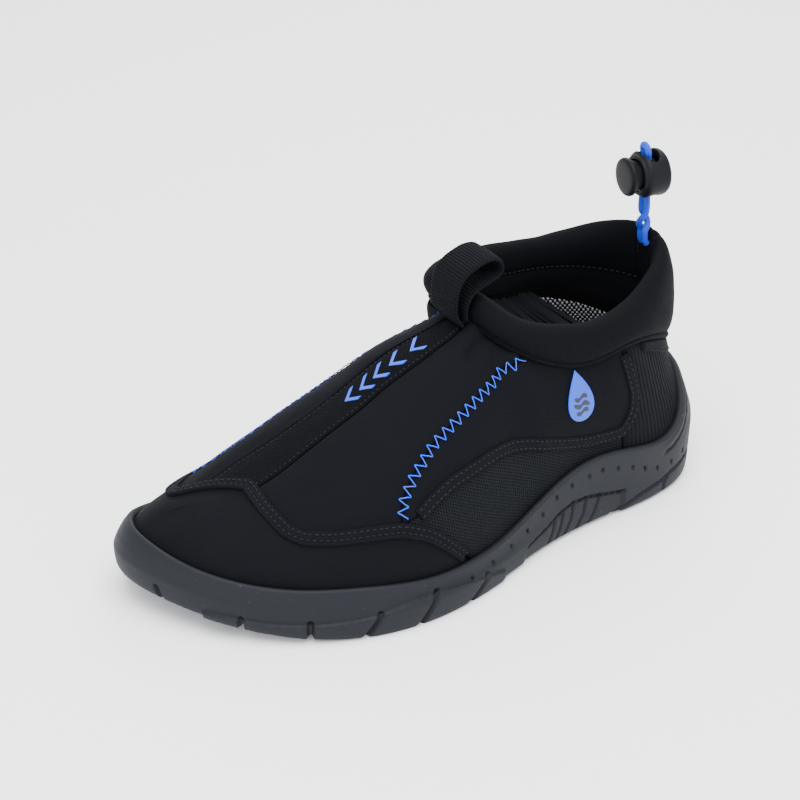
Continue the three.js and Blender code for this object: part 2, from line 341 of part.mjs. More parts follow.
// an upright oval hole: half length a along the lock axis, half width w across it
const hole = (c, a, w) => { const g = new THREE.CylinderGeometry(1, 1, 40, 24); g.rotateX(Math.PI / 2); g.scale(w, a, 1); g.translate(0, c, 0); return alongA(g); };
{
  let bar = toMan(alongA(lathe([[0,6.6],[BARREL_R - 1.6,6.6],[BARREL_R - .5,6.1],[BARREL_R,5.0],[BARREL_R,-2.6],[BARREL_R - 1.2,-3.4],[BARREL_R - 1.4,-4.4],[STEM_R + 0.5,-4.4],[STEM_R + 0.5,5.5],[0,5.5]].reverse(), 36)));
  bar = bar.subtract(toMan(hole(.5, 3.4, 5.9)));
  put('cord_lock_barrel', fromMan(bar), 0x3b3d41, 0.55);
  let but = toMan(alongA(lathe([[0,-9.5],[BUTTON_R - 1.6,-9.4],[BUTTON_R - .4,-9.0],[BUTTON_R,-8.4],[BUTTON_R,-7.6],[BUTTON_R - .4,-7.2],[STEM_R,-7.2],[STEM_R,2.9],[0,2.9]], 32)));
  but = but.subtract(toMan(hole(-1.2, 3.3, 3.8)));
  put('cord_lock_button', fromMan(but), 0x4a4c50, 0.5);
}
// bring the middle of the shoe's own box onto the origin
const box = new THREE.Box3();
for (const m of group.children) if (!/^(drawcord|cord_lock)/.test(m.name)) { m.geometry.computeBoundingBox(); box.union(m.geometry.boundingBox); }
const SHIFT = [-(box.min.x + box.max.x) / 2, -(box.min.y + box.max.y) / 2, 0];
for (const m of group.children) m.geometry.translate(...SHIFT);
export default group;
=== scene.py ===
import bpy, math
import numpy as np
from mathutils import Vector, Matrix


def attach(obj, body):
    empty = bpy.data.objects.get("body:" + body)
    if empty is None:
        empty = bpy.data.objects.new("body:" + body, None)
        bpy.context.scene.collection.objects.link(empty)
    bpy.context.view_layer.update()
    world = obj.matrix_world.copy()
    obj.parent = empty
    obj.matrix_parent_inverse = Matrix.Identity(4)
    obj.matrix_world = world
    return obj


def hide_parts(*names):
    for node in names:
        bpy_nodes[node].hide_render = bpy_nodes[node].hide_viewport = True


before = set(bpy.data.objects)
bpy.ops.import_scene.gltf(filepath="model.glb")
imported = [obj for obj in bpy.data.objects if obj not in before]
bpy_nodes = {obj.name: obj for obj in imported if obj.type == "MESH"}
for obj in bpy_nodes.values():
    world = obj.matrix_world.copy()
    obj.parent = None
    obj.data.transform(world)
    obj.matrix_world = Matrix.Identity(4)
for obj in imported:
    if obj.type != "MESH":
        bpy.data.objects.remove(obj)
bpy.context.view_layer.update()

# ------------------------------------------------------------------ shared tables (same numbers as the CAD)
K = 0.9
SHIFT = np.array([4.23878, -0.35854, 0.0])
OUT = np.array([[2,127.5],[22,121.5],[33.5,105],[36.8,81],[36.8,56],[38.9,30],[44.1,5],[48.8,-20],[49.2,-45],[42.7,-70],[29.2,-93],[9.3,-112],[-14,-124],[-34.6,-127.5],[-50.3,-120.6],[-58,-106],[-58.8,-85],[-55,-60],[-48.5,-35],[-39,-10],[-32.6,15],[-30.5,40],[-31.5,65],[-32.6,88],[-29.4,108],[-17.9,121]], float)
N = 26
TL = [[0,117,62],[14,111.5,63],[24.5,96,71],[29,74,75.5],[27,50,73.5],[18,25,84.5],[-1,13.5,95.5],[1,-16,86.5],[1,-37,75.8],[-2,-56,64.8],[-7,-73,53.4],[-13,-88,46],[-20,-99,42.5],[-27,-106,39]]
TM = {25: [-15,112,64], 24: [-25,96,72], 23: [-29,74,79], 22: [-27,50,83], 21: [-22,17,95.5]}
B1L = [9,8,7,6,5,5,4,4,4,4,4,4,4,3]; H1L = [22,22,24,26,28,34,38,37,33,28,23,17,13,10]
B2L = [1,2,3,5,8,15,23,25,25,24,21,17,13,9]; H2L = [18,18,20,18,14,11,5,1,1,1,1,1,1,1]
B1M = [9,8,7,6,5,5,5,6,6,5,4,4,3,3]; H1M = [22,22,24,28,34,42,47,46,42,36,28,20,14,10]
B2M = [1,2,3,5,8,16,27,33,34,32,27,20,14,9]; H2M = [18,18,20,20,18,13,2,-4,-4,-3,-2,-1,0,1]
ZF = [10,10,10,10,10,10,9,8,8,8,8,8,8,8]
SL = [0,0,0,0,0,0,-.45,-.5,-.54,-.57,-.5,-.4,-.42,-.6]
RT = [.76,.72,.33,.26,.29,.17,.085,.08,.105,.155,.174,.215,.31,.42]
RIM = np.array([[0,114,106.5],[12,109.5,102.5],[20.5,93.5,95.5],[25,72,89.5],[24,48,90.2],[16,26,97.5],[-1,17,105.5],[-20,15.5,108],[-27,44,107],[-27,72,103],[-24,95,102.5],[-14,110,105]], float)
INSET = 4.5; PANEL = 2.6

def cub(vals):
    v = np.array(vals, float); n = len(v); A = np.zeros((n, n))
    for i in range(n): A[i, i] = 4; A[i, (i+1) % n] = 1; A[i, (i-1) % n] = 1
    M = np.linalg.solve(A, 6 * (np.roll(v, -1, 0) - 2*v + np.roll(v, 1, 0)))
    def f(s):
        s = np.asarray(s, float) % n; i = np.floor(s).astype(int) % n; j = (i+1) % n; t = s - np.floor(s)
        if v.ndim > 1: t = t[..., None]
        a = 1 - t
        return a*v[i] + t*v[j] + ((a**3-a)*M[i] + (t**3-t)*M[j])/6
    return f
def pch(vals):
    v = np.array(vals, float); n = len(v); d = np.roll(v, -1) - v; dm = np.roll(d, 1)
    m = np.where(d*dm > 0, 2*d*dm/np.where(d+dm == 0, 1, d+dm), 0.0)
    def f(s):
        s = np.asarray(s, float) % n; i = np.floor(s).astype(int) % n; j = (i+1) % n; t = s - np.floor(s); h = t*t*(3-2*t)
        return v[i]*(1-h) + v[j]*h + m[i]*t*(1-t)**2 - m[j]*t*t*(1-t)
    return f
mixLM = lambda L, M: np.array([L[k] if k <= 13 else M[26-k] for k in range(N)], float)
fo = cub(OUT)
def no(s):
    s = np.asarray(s, float); d = fo(s+0.02) - fo(s-0.02); n = np.stack([-d[..., 1], d[..., 0]], -1)
    return n/np.linalg.norm(n, axis=-1, keepdims=True)
TT = np.array([TL[k] if k <= 13 else TM.get(k, TL[26-k]) for k in range(N)], float)
fTx, fTy, fTz = pch(TT[:, 0]), cub(TT[:, 1]), cub(TT[:, 2])
fB1, fH1, fB2, fH2 = cub(mixLM(B1L, B1M)), cub(mixLM(H1L, H1M)), cub(mixLM(B2L, B2M)), cub(mixLM(H2L, H2M))
fZ, fS, fR = cub(mixLM(ZF, ZF)), cub(mixLM(SL, SL)), cub(mixLM(RT, RT))
spring = lambda y: 11.5*np.clip((-55-np.asarray(y))/72.5, 0, 1.1)**2
def S(s, t):
    s = np.asarray(s, float); t = np.asarray(t, float); s, t = np.broadcast_arrays(s, t)
    o = fo(s); n = no(s); b1, b2 = fB1(s), fB2(s)
    F = np.stack([o[..., 0]-n[..., 0]*INSET, o[..., 1]-n[..., 1]*INSET, fZ(s)+spring(o[..., 1])], -1)
    T = np.stack([fTx(s), fTy(s), fTz(s)], -1)
    P1 = F + np.stack([n[..., 0]*b1, n[..., 1]*b1, fH1(s)], -1)
    P2 = T + np.stack([n[..., 0]*b2, n[..., 1]*b2*.7, -n[..., 1]*.7*fS(s)*b2-fH2(s)], -1)
    t = t[..., None]; a = 1-t
    return a**3*F + 3*a*a*t*P1 + 3*a*t*t*P2 + t**3*T
def E(s, w):
    s, w = np.broadcast_arrays(np.asarray(s, float), np.asarray(w, float)); m = w > 1
    return S(np.where(m, 26-s, s), np.where(m, 2-w, w))
def unit(v): return v/np.maximum(np.linalg.norm(v, axis=-1, keepdims=True), 1e-12)
def nrm(f, s, w, lo, hi, e=0.012):
    s = np.asarray(s, float); w = np.asarray(w, float)
    return unit(np.cross(f(s, np.minimum(w+e, hi)) - f(s, np.maximum(w-e, lo)), f(s+e, w) - f(s-e, w)))
nE = lambda s, w: nrm(E, s, w, 0, 2)
nS = lambda s, t: nrm(S, s, t, 0, 1)
def W2M(P): return (np.asarray(P, float)*K + SHIFT)/1000.0   # table units -> metres in the row frame

# ------------------------------------------------------------------ camera (photograph's angle)
def camera():
    a, e, D, f, tx, ty = math.radians(52.0), math.radians(28.5), 900.0, 2.43, -14.2, 54.6
    fw = np.array([-math.sin(a)*math.cos(e), math.cos(a)*math.cos(e), -math.sin(e)])
    rt = np.array([math.cos(a), math.sin(a), 0.0]); up = np.cross(rt, fw)
    C = W2M(-D*fw + tx*rt + ty*up)
    cd = bpy.data.cameras.new("camera"); co = bpy.data.objects.new("camera", cd); bpy.context.scene.collection.objects.link(co)
    cd.sensor_width = 36; cd.lens = f*D*36/800; cd.dof.use_dof = False; cd.clip_start = 0.01; cd.clip_end = 20
    co.matrix_world = Matrix(((rt[0], up[0], -fw[0], C[0]), (rt[1], up[1], -fw[1], C[1]), (rt[2], up[2], -fw[2], C[2]), (0, 0, 0, 1)))
    bpy.context.scene.camera = co
camera()

# ------------------------------------------------------------------ materials
MATS = {}
class Mat:
    def __init__(self, name, color, rough=0.8, spec=0.5, sheen=0.0, metal=0.0, coat=0.0):
        m = bpy.data.materials.new(name); m.use_nodes = True; self.m = m; self.nt = m.node_tree; self.nt.nodes.clear()
        self.out = self.n("ShaderNodeOutputMaterial"); self.b = self.n("ShaderNodeBsdfPrincipled")
        self.l(self.b.outputs[0], self.out.inputs[0]); i = self.b.inputs
        i["Base Color"].default_value = (*color, 1); i["Roughness"].default_value = rough; i["Metallic"].default_value = metal
        i["Specular IOR Level"].default_value = spec; i["Sheen Weight"].default_value = sheen; i["Sheen Roughness"].default_value = 0.45
        i["Sheen Tint"].default_value = (0.55, 0.62, 0.8, 1); i["Coat Weight"].default_value = coat
        self.color = color; self.h = None; MATS[name] = m
    def n(self, t, **k):
        x = self.nt.nodes.new(t)
        for a, b in k.items(): setattr(x, a, b)
        return x
    def l(self, a, b): self.nt.links.new(a, b)
    def val(self, sock, v):
        if hasattr(v, "links") or isinstance(v, bpy.types.NodeSocket): self.l(v, sock)
        else: sock.default_value = v
    def math(self, op, a, b=0.0, c=0.0, clamp=False):
        x = self.n("ShaderNodeMath", operation=op, use_clamp=clamp)
        self.val(x.inputs[0], a); self.val(x.inputs[1], b); self.val(x.inputs[2], c); return x.outputs[0]
    def uv(self):
        if not hasattr(self, "_uv"):
            u = self.n("ShaderNodeUVMap", uv_map="mm"); s = self.n("ShaderNodeSeparateXYZ"); self.l(u.outputs[0], s.inputs[0]); self._uv = (s.outputs[0], s.outputs[1], u.outputs[0])
        return self._uv
    def obj(self):
        if not hasattr(self, "_ob"): self._ob = self.n("ShaderNodeTexCoord").outputs["Object"]
        return self._ob
    def noise(self, scale, detail=3, rough=.5, vec=None, dim="3D"):
        x = self.n("ShaderNodeTexNoise"); x.inputs["Scale"].default_value = scale; x.inputs["Detail"].default_value = detail; x.inputs["Roughness"].default_value = rough
        self.l(vec or self.obj(), x.inputs["Vector"]); return x.outputs["Fac"]
    def ramp(self, f, stops):
        x = self.n("ShaderNodeValToRGB"); e = x.color_ramp.elements
        while len(e) < len(stops): e.new(0.5)
        for k, (p, c) in enumerate(stops): e[k].position = p; e[k].color = (*c, 1) if len(c) == 3 else c
        self.l(f, x.inputs[0]); return x.outputs[0]
    def mixc(self, f, a, b):
        x = self.n("ShaderNodeMix", data_type="RGBA"); self.val(x.inputs[0], f)
        for s, v in ((x.inputs[6], a), (x.inputs[7], b)):
            if isinstance(v, tuple): s.default_value = (*v, 1)
            else: self.l(v, s)
        return x.outputs[2]
    def bump(self, h, dist, strength=1.0):
        x = self.n("ShaderNodeBump"); x.inputs["Distance"].default_value = dist; x.inputs["Strength"].default_value = strength; self.l(h, x.inputs["Height"])
        if self.h is not None: self.l(self.h, x.inputs["Normal"])
        self.h = x.outputs[0]; self.l(self.h, self.b.inputs["Normal"])
    def sin01(self, x, pitch, phase=0.0):
        return self.math("MULTIPLY_ADD", self.math("SINE", self.math("MULTIPLY_ADD", x, 2*math.pi/pitch, phase)), 0.5, 0.5)
def shade(c, k): return tuple(min(1, x*k) for x in c)

def fabric(name, color, kind, rough=.85, sheen=.25, depth=.00012, var=.22, spec=.22):
    color = shade(color, .34); m = Mat(name, color, rough, spec*.24, sheen*.02); u, v, uv = m.uv()
    big = m.noise(45, 4, .6); fine = m.noise(1800, 2, .6)
    if kind == "jersey":      # fine knit on foam
        a = m.sin01(m.math("ADD", u, m.math("MULTIPLY", m.sin01(v, .9), .25)), .75); b = m.sin01(v, .9)
        h = m.math("ADD", m.math("MULTIPLY", a, .6), m.math("MULTIPLY", b, .5))
    elif kind == "mesh":      # open hexagonal mesh
        k = 1.25; r3 = math.sqrt(3)
        c1 = m.math("COSINE", m.math("MULTIPLY", u, 4*math.pi/(k*r3)))
        d = m.math("MULTIPLY", u, 2*math.pi/(k*r3)); e = m.math("MULTIPLY", v, 2*math.pi/k)
        c2 = m.math("COSINE", m.math("ADD", d, e)); c3 = m.math("COSINE", m.math("SUBTRACT", d, e))
        s = m.math("ADD", m.math("ADD", c1, c2), c3)
        h = m.math("SUBTRACT", 1.0, m.math("SMOOTH_MIN", m.math("MULTIPLY_ADD", s, .28, .2), .9, .1), clamp=True)
    elif kind == "rib":       # vertical stretch ribs
        a = m.sin01(u, 1.35); h = m.math("ADD", m.math("POWER", a, .6), m.math("MULTIPLY", m.sin01(v, .8), .18))
    elif kind == "webbing":   # lengthwise ribs with cross picks
        a = m.sin01(u, 1.5); h = m.math("ADD", m.math("POWER", a, .7), m.math("MULTIPLY", m.sin01(v, .9, 0), .3))
    elif kind == "elastic":   # diagonal woven tape
        a = m.sin01(m.math("ADD", u, v), 1.5); b = m.sin01(m.math("SUBTRACT", u, v), 1.5)
        h = m.math("ADD", m.math("MULTIPLY", a, b), m.math("MULTIPLY", fine, .6))
    elif kind == "twill":
        h = m.sin01(m.math("ADD", u, m.math("MULTIPLY", v, .6)), .8)
    elif kind == "grosgrain":
        a = m.sin01(u, 1.15); h = m.math("ADD", m.math("POWER", a, .7), m.math("MULTIPLY", m.sin01(v, .7), .12))
    elif kind == "dots":      # footbed top cloth: dark ground, pale woven dots
        k = 2.3
        a = m.sin01(u, k); b = m.sin01(v, k); a2 = m.sin01(u, k, math.pi); b2 = m.sin01(v, k, math.pi)
        h = m.math("MAXIMUM", m.math("MULTIPLY", a, b), m.math("MULTIPLY", a2, b2))
    else: h = fine
    m.bump(big, .0006, .35); m.bump(m.math("ADD", h, m.math("MULTIPLY", fine, .25)), depth, 1.0)
    # painted light: the colour follows the cloth pattern's height h, so raised yarn is painted lighter (painted
    # highlight) and low yarn darker (painted shade); the big noise adds random tone
    lo, hi = shade(color, 1-var), shade(color, 1+var)
    col = m.mixc(m.math("MULTIPLY_ADD", h, .6, m.math("MULTIPLY", big, .35), clamp=True), lo, hi)
    # painted shade: the mesh holes (low h) are painted near-black and the raised strands are painted lighter
    if kind == "mesh": col = m.mixc(m.math("POWER", h, 1.5), shade(color, .18), shade(color, 1.35))
    if kind == "dots": col = m.mixc(m.math("SMOOTH_MIN", m.math("MULTIPLY", m.math("SUBTRACT", h, .42), 5.0, clamp=True), 1.0, .1), shade(color, .25), (.30, .31, .33))
    m.l(col, m.b.inputs["Base Color"])
    m.l(m.math("MULTIPLY_ADD", big, .12, rough-.06), m.b.inputs["Roughness"])
    return m.m
NEO = (.0075, .0085, .0125)
M_neo = fabric("neoprene_jersey", NEO, "jersey", .78, .35, .00006, .18)
M_toe = fabric("toe_jersey", (.0068, .0078, .0115), "jersey", .72, .3, .00005, .15)
M_col = fabric("collar_jersey", (.0065, .0072, .0100), "jersey", .8, .35, .00006, .18)
M_mesh = fabric("open_mesh", (.016, .018, .022), "mesh", .85, .2, .00045)
M_rib = fabric("ribbed_stretch", (.0105, .0115, .0150), "rib", .8, .3, .0004)
M_web = fabric("ribbed_webbing", (.0090, .0100, .0135), "grosgrain", .8, .3, .0003)
M_ela = fabric("woven_elastic", (.0060, .0066, .0090), "elastic", .85, .3, .0003)
M_bind = fabric("binding_twill", (.0095, .0105, .0150), "twill", .75, .3, .00012)
M_line = fabric("lining_jersey", (.0045, .0040, .0050), "jersey", .9, .2, .00008)
M_dots = fabric("footbed_cloth", (.02, .02, .022), "dots", .9, .1, .0004)
M_board = fabric("strobel_cloth", (.3, .3, .31), "twill", .9, .1)
def rubber():
    m = Mat("sole_rubber", (.009, .0105, .014), .6, .16, .0)
    big = m.noise(25, 4, .6); fine = m.noise(2600, 3, .65); specks = m.noise(520, 2, .5)
    m.bump(fine, .00008, .6); m.bump(big, .0005, .25)
    c = m.mixc(big, (.0052, .0061, .0086), (.0078, .0090, .0120)); c = m.mixc(m.ramp(specks, [(.70, (0, 0, 0)), (.78, (1, 1, 1))]), c, (.022, .025, .029))
    m.l(c, m.b.inputs["Base Color"]); m.l(m.math("MULTIPLY_ADD", fine, .22, .5), m.b.inputs["Roughness"]); return m.m
M_rub = rubber()
def plastic(name, c, r):
    m = Mat(name, c, r, .09); fine = m.noise(3200, 2, .6); big = m.noise(120, 3, .5)
    m.bump(fine, .00003, .7); m.l(m.mixc(big, shade(c, .85), shade(c, 1.15)), m.b.inputs["Base Color"]); m.l(m.math("MULTIPLY_ADD", fine, .15, r-.05), m.b.inputs["Roughness"]); return m.m
M_lock = plastic("lock_plastic", (.0042, .0046, .0064), .46); M_but = plastic("button_plastic", (.0030, .0033, .0044), .44)
def thread(name, c, pitch=.55, sheen=.4):
    m = Mat(name, c, .6, .12, 0.0); u, v, uv = m.uv(); a = m.sin01(m.math("ADD", u, m.math("MULTIPLY", v, 1.0)), pitch)
    # painted light: the twist ridges are painted lighter (painted highlight) and the grooves between them darker
    # (painted shade)
    m.bump(a, .0001, .8); m.l(m.mixc(a, shade(c, .7), shade(c, 1.25)), m.b.inputs["Base Color"]); return m.m
M_blue = thread("blue_thread", (.022, .075, .60)); M_dark = thread("dark_thread", (.0085, .0095, .014)); M_cord = thread("blue_cord", (.014, .050, .46), .8)
def printm(name, c):
    m = Mat(name, c, .5, .3, .0); n = m.noise(900, 3, .6); m.bump(n, .00006, .6); m.l(m.mixc(n, shade(c, .85), shade(c, 1.12)), m.b.inputs["Base Color"]); return m.m
M_badge = printm("badge_blue", (.018, .072, .50)); M_badge_dark = printm("badge_dark", (.02, .022, .03))

# ------------------------------------------------------------------ mesh helpers
def mesh_obj(name, V, faces, mat, body="shoe", slot=None, uv=None, sharp=48, metres=False, mats=None, fmat=None):
    V = np.asarray(V, float); V = V if metres else W2M(V)
    me = bpy.data.meshes.new(name); me.from_pydata(V.tolist(), [], [tuple(int(i) for i in f) for f in faces]); me.update()
    for x in (mats or [mat]): me.materials.append(x)
    if fmat is not None: me.polygons.foreach_set("material_index", np.asarray(fmat, np.int32))
    me.polygons.foreach_set("use_smooth", np.ones(len(me.polygons), bool))
    if uv is not None:
        L = me.uv_layers.new(name="mm"); li = np.zeros(len(me.loops), np.int32); me.loops.foreach_get("vertex_index", li)
        L.data.foreach_set("uv", np.asarray(uv, np.float32)[li].ravel())
    if sharp: me.set_sharp_from_angle(angle=math.radians(sharp))
    ob = bpy.data.objects.new(name, me); bpy.context.scene.collection.objects.link(ob)
    if body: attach(ob, body)
    return ob
def grid_faces(m, n, off=0, closed_i=False, closed_j=False, flip=False):
    # vertices index off + i*n + j
    I = np.arange(m if closed_i else m-1); J = np.arange(n if closed_j else n-1); I, J = np.meshgrid(I, J, indexing="ij"); I = I.ravel(); J = J.ravel(); I2 = (I+1) % m; J2 = (J+1) % n
    a, b, c, d = I*n+J, I2*n+J, I2*n+J2, I*n+J2
    F = np.stack([a, d, c, b] if flip else [a, b, c, d], 1) + off
    return F
def fix_winding(V, F):
    V = np.asarray(V); F = [tuple(f) for f in F]; vol = 0.0
    for f in F:
        a = V[f[0]]
        for k in range(1, len(f)-1): vol += np.dot(a, np.cross(V[f[k]], V[f[k+1]]))
    return F if vol > 0 else [f[::-1] for f in F]
_rs = np.random.RandomState(11)
def waves(n, lo, hi, seed):
    r = np.random.RandomState(seed); d = unit(r.normal(size=(n, 3))); k = 2*np.pi/r.uniform(lo, hi, n); ph = r.uniform(0, 6.28, n)
    return lambda P: np.sin((np.asarray(P) @ d.T)*k + ph).sum(-1)/math.sqrt(n)
lump = waves(14, 26, 60, 1); crease = waves(16, 9, 22, 2)
def curve_pts(f, poly, step=1.0, smooth_n=14):
    poly = np.array(poly, float); q = []
    for a, b in zip(poly[:-1], poly[1:]): t = np.linspace(0, 1, 30, endpoint=False)[:, None]; q.append(a*(1-t)+b*t)
    q = np.concatenate(q+[poly[-1:]])
    def re(q, n):
        P = f(q[:, 0], q[:, 1]); L = np.r_[0, np.cumsum(np.linalg.norm(np.diff(P, axis=0), axis=1))]; x = np.linspace(0, L[-1], n)
        return np.stack([np.interp(x, L, q[:, 0]), np.interp(x, L, q[:, 1])], 1), L[-1]
    _, Lt = re(q, 2); n = max(int(Lt/step), 6)+1; q, _ = re(q, n)
    for _ in range(smooth_n):
        q[1:-1] = .25*q[:-2] + .5*q[1:-1] + .25*q[2:]
    return q
def resample(f, q, n):
    P = f(q[:, 0], q[:, 1]); L = np.r_[0, np.cumsum(np.linalg.norm(np.diff(P, axis=0), axis=1))]; x = np.linspace(0, L[-1], n)
    return np.stack([np.interp(x, L, q[:, 0]), np.interp(x, L, q[:, 1])], 1)
# arc length up the wall, for cloth coordinates
_sg = np.linspace(-6, 20, 261); _wg = np.linspace(0, 2, 81)
_G = E(_sg[:, None], _wg[None]); _LW = np.concatenate([np.zeros((len(_sg), 1)), np.cumsum(np.linalg.norm(np.diff(_G, axis=1), axis=2), axis=1)], 1)
def bil(T, s, w):
    x = np.clip((s-_sg[0])/(_sg[1]-_sg[0]), 0, len(_sg)-1.001); y = np.clip((w-_wg[0])/(_wg[1]-_wg[0]), 0, len(_wg)-1.001)
    i = x.astype(int); j = y.astype(int); a = x-i; b = y-j
    return (T[i, j]*(1-a)*(1-b)+T[i+1, j]*a*(1-b)+T[i, j+1]*(1-a)*b+T[i+1, j+1]*a*b)
def coons(f, B, T, L, R, nu, nv):
    B, T, L, R = resample(f, B, nu+1), resample(f, T, nu+1), resample(f, L, nv+1), resample(f, R, nv+1)
    v = np.linspace(0, 1, nv+1)[:, None]
    L = L + (1-v)*(B[0]-L[0]) + v*(T[0]-L[-1]); R = R + (1-v)*(B[-1]-R[0]) + v*(T[-1]-R[-1])
    u = np.linspace(0, 1, nu+1)[:, None, None]; v = v[None]
    return (1-v)*B[:, None]+v*T[:, None]+(1-u)*L[None]+u*R[None]-((1-u)*(1-v)*B[0]+u*(1-v)*B[-1]+(1-u)*v*T[0]+u*v*T[-1])
def slab_obj(name, top, bot, uv, mat, closed_i=False, **kw):
    m, n = top.shape[:2]; V = np.concatenate([top.reshape(-1, 3), bot.reshape(-1, 3)]); o = m*n
    F = [tuple(x) for x in grid_faces(m, n, 0, closed_i)] + [tuple(x) for x in grid_faces(m, n, o, closed_i, flip=True)]
    I = range(m if closed_i else m-1)
    for i in I:
        k = (i+1) % m; F.append((i*n, o+i*n, o+k*n, k*n)); F.append((i*n+n-1, k*n+n-1, o+k*n+n-1, o+i*n+n-1))
    if not closed_i:
        for j in range(n-1): F.append((j, j+1, o+j+1, o+j)); F.append(((m-1)*n+j, o+(m-1)*n+j, o+(m-1)*n+j+1, (m-1)*n+j+1))
    U = np.concatenate([uv.reshape(-1, 2)]*2)
    return mesh_obj(name, V, fix_winding(V, F), mat, uv=U, **kw)
def edge_dist(G):
    # distance of each grid point from the four borders, in table units
    du = np.concatenate([np.zeros((1, G.shape[1])), np.cumsum(np.linalg.norm(np.diff(G, axis=0), axis=2), axis=0)]); dv = np.concatenate([np.zeros((G.shape[0], 1)), np.cumsum(np.linalg.norm(np.diff(G, axis=1), axis=2), axis=1)], 1)
    return du, du[-1:]-du, dv, dv[:, -1:]-dv
sstep = lambda x: (lambda c: c*c*(3-2*c))(np.clip(x, 0, 1))
def panel(name, f, nf, B, T, L, R, mat, node=None, step=1.35, dout=0.0, din=-PANEL, puff=.5, roll=.9, lumps=.35, creases=.12, gap=.12, slot=None, extra=None, sides=(1, 1, 1, 1)):
    lu = np.linalg.norm(np.diff(f(B[:, 0], B[:, 1]), axis=0), axis=1).sum(); lu = max(lu, np.linalg.norm(np.diff(f(T[:, 0], T[:, 1]), axis=0), axis=1).sum())
    lv = max(np.linalg.norm(np.diff(f(q[:, 0], q[:, 1]), axis=0), axis=1).sum() for q in (L, R))
    nu, nv = max(int(lu/step), 8), max(int(lv/step), 6)
    C = coons(f, B, T, L, R, nu, nv); s, w = C[..., 0], C[..., 1]
    P = f(s, w); Q = nf(s, w); dL, dR, dB, dT = edge_dist(P)
    d = np.full(P.shape[:2], 99.0)
    for on, x in zip(sides, (dL, dR, dB, dT)):
        if on: d = np.minimum(d, x)
    off = dout - roll*(1-sstep(d/1.5)) + puff*sstep(d/9) + sstep(d/5)*(lumps*lump(P)+creases*crease(P)*.8)
    if extra is not None: off = off + extra(P, s, w, d)
    G = P.copy()
    G[0] += unit(P[1]-P[0])*gap; G[-1] += unit(P[-2]-P[-1])*gap; G[:, 0] += unit(P[:, 1]-P[:, 0])*gap; G[:, -1] += unit(P[:, -2]-P[:, -1])*gap
    top = G + Q*off[..., None]; bot = G + Q*(din + .25*lump(P)*sstep(d/5))[..., None]
    U = (P[..., 1] if f is E else s*16.0); V = bil(_LW, s, w) if f is E else bil(_LW, np.abs(s), w)
    ob = slab_obj(name, top, bot, np.stack([U*K, V*K], -1), mat, slot=slot)
    if node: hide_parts(*([node] if isinstance(node, str) else node))
    return ob
def sweep(name, f, nf, q, prof, half, mat, step=.8, slot=None, node=None, lift=.0, wob=.12, body="shoe", taper=2.0, uvs=None):
    # q: dense surface curve; prof: list of (b, h) across, b in -1..1 times half
    P0 = f(q[:, 0], q[:, 1]); Lt = np.linalg.norm(np.diff(P0, axis=0), axis=1).sum(); n = max(int(Lt/step), 8); q = resample(f, q, n)
    P = f(q[:, 0], q[:, 1]); Q = nf(q[:, 0], q[:, 1]); t = unit(np.gradient(P, axis=0)); b = unit(np.cross(Q, t)); Q = unit(np.cross(t, b))
    prof = np.array(prof, float); L = np.r_[0, np.cumsum(np.linalg.norm(np.diff(P, axis=0), axis=1))]
    e = np.minimum(L, L[-1]-L); k = .55+.45*sstep(e/taper)
    h = prof[None, :, 1]*k[:, None] + lift; h = h + wob*np.sin(L/2.35*2*np.pi+.5)[:, None]*np.where(prof[None, :, 1] > .4, .35, 0)
    V = P[:, None] + b[:, None]*(prof[None, :, 0, None]*half) + Q[:, None]*h[..., None]
    m, c = V.shape[:2]; base = P[:, None] + b[:, None]*(prof[None, :, 0, None]*half*.96) + Q[:, None]*(lift-.35)
    across = np.r_[0, np.cumsum(np.linalg.norm(np.diff(prof*[half, 1], axis=0), axis=1))]
    UV = np.stack(np.broadcast_arrays(L[:, None], across[None]), -1)*K
    ob = slab_obj(name, V, base, UV, mat, slot=slot, body=body)
    if node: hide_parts(node)
    return ob, q
def stitches(name, f, nf, q, offs, lift, mat, pitch=2.45, ln=1.75, wd=.34, body="shoe", jitter=.06):
    # rows of thread stitches along surface curve q at sideways offsets
    P0 = f(q[:, 0], q[:, 1]); Lt = np.linalg.norm(np.diff(P0, axis=0), axis=1).sum(); q = resample(f, q, int(Lt/.5)+2)
    P = f(q[:, 0], q[:, 1]); Q = nf(q[:, 0], q[:, 1]); t = unit(np.gradient(P, axis=0)); b = unit(np.cross(Q, t)); Q = unit(np.cross(t, b)); L = np.r_[0, np.cumsum(np.linalg.norm(np.diff(P, axis=0), axis=1))]
    ang = np.linspace(0, 2*np.pi, 7)[:-1]; prof = [(-1, .15, -.35), (-.72, .8, .0), (0, 1, .28), (.72, .8, .0), (1, .15, -.35)]
    V, F, UV = [], [], []; rs = np.random.RandomState(5)
    at = lambda A, x: np.array([np.interp(x, L, A[:, k]) for k in range(3)]).T
    for r, (o, li) in enumerate(zip(offs, lift if hasattr(lift, "__len__") else [lift]*len(offs))):
        xs = np.arange(1.2+.6*r, L[-1]-1.2, pitch)
        for x in xs:
            x = x + rs.uniform(-jitter, jitter)*pitch; sk = rs.uniform(-.12, .12); k0 = len(V)
            for (z, rr, dz) in prof:
                xx = x+z*ln/2; c = at(P, xx)+at(b, xx)*(o+sk*z)+at(Q, xx)*(li+dz*wd)
                for a in ang: V.append(c + at(b, xx)*(math.cos(a)*wd*rr) + at(Q, xx)*(math.sin(a)*wd*rr)); UV.append((z*ln/2, a*wd))
            for i in range(4):
                for j in range(6): F.append((k0+i*6+j, k0+i*6+(j+1) % 6, k0+(i+1)*6+(j+1) % 6, k0+(i+1)*6+j))
            F.append(tuple(k0+j for j in range(6))[::-1]); F.append(tuple(k0+24+j for j in range(6)))
    ob = mesh_obj(name, np.array(V), F, mat, uv=np.array(UV)*K, body=body, sharp=None)
    return ob
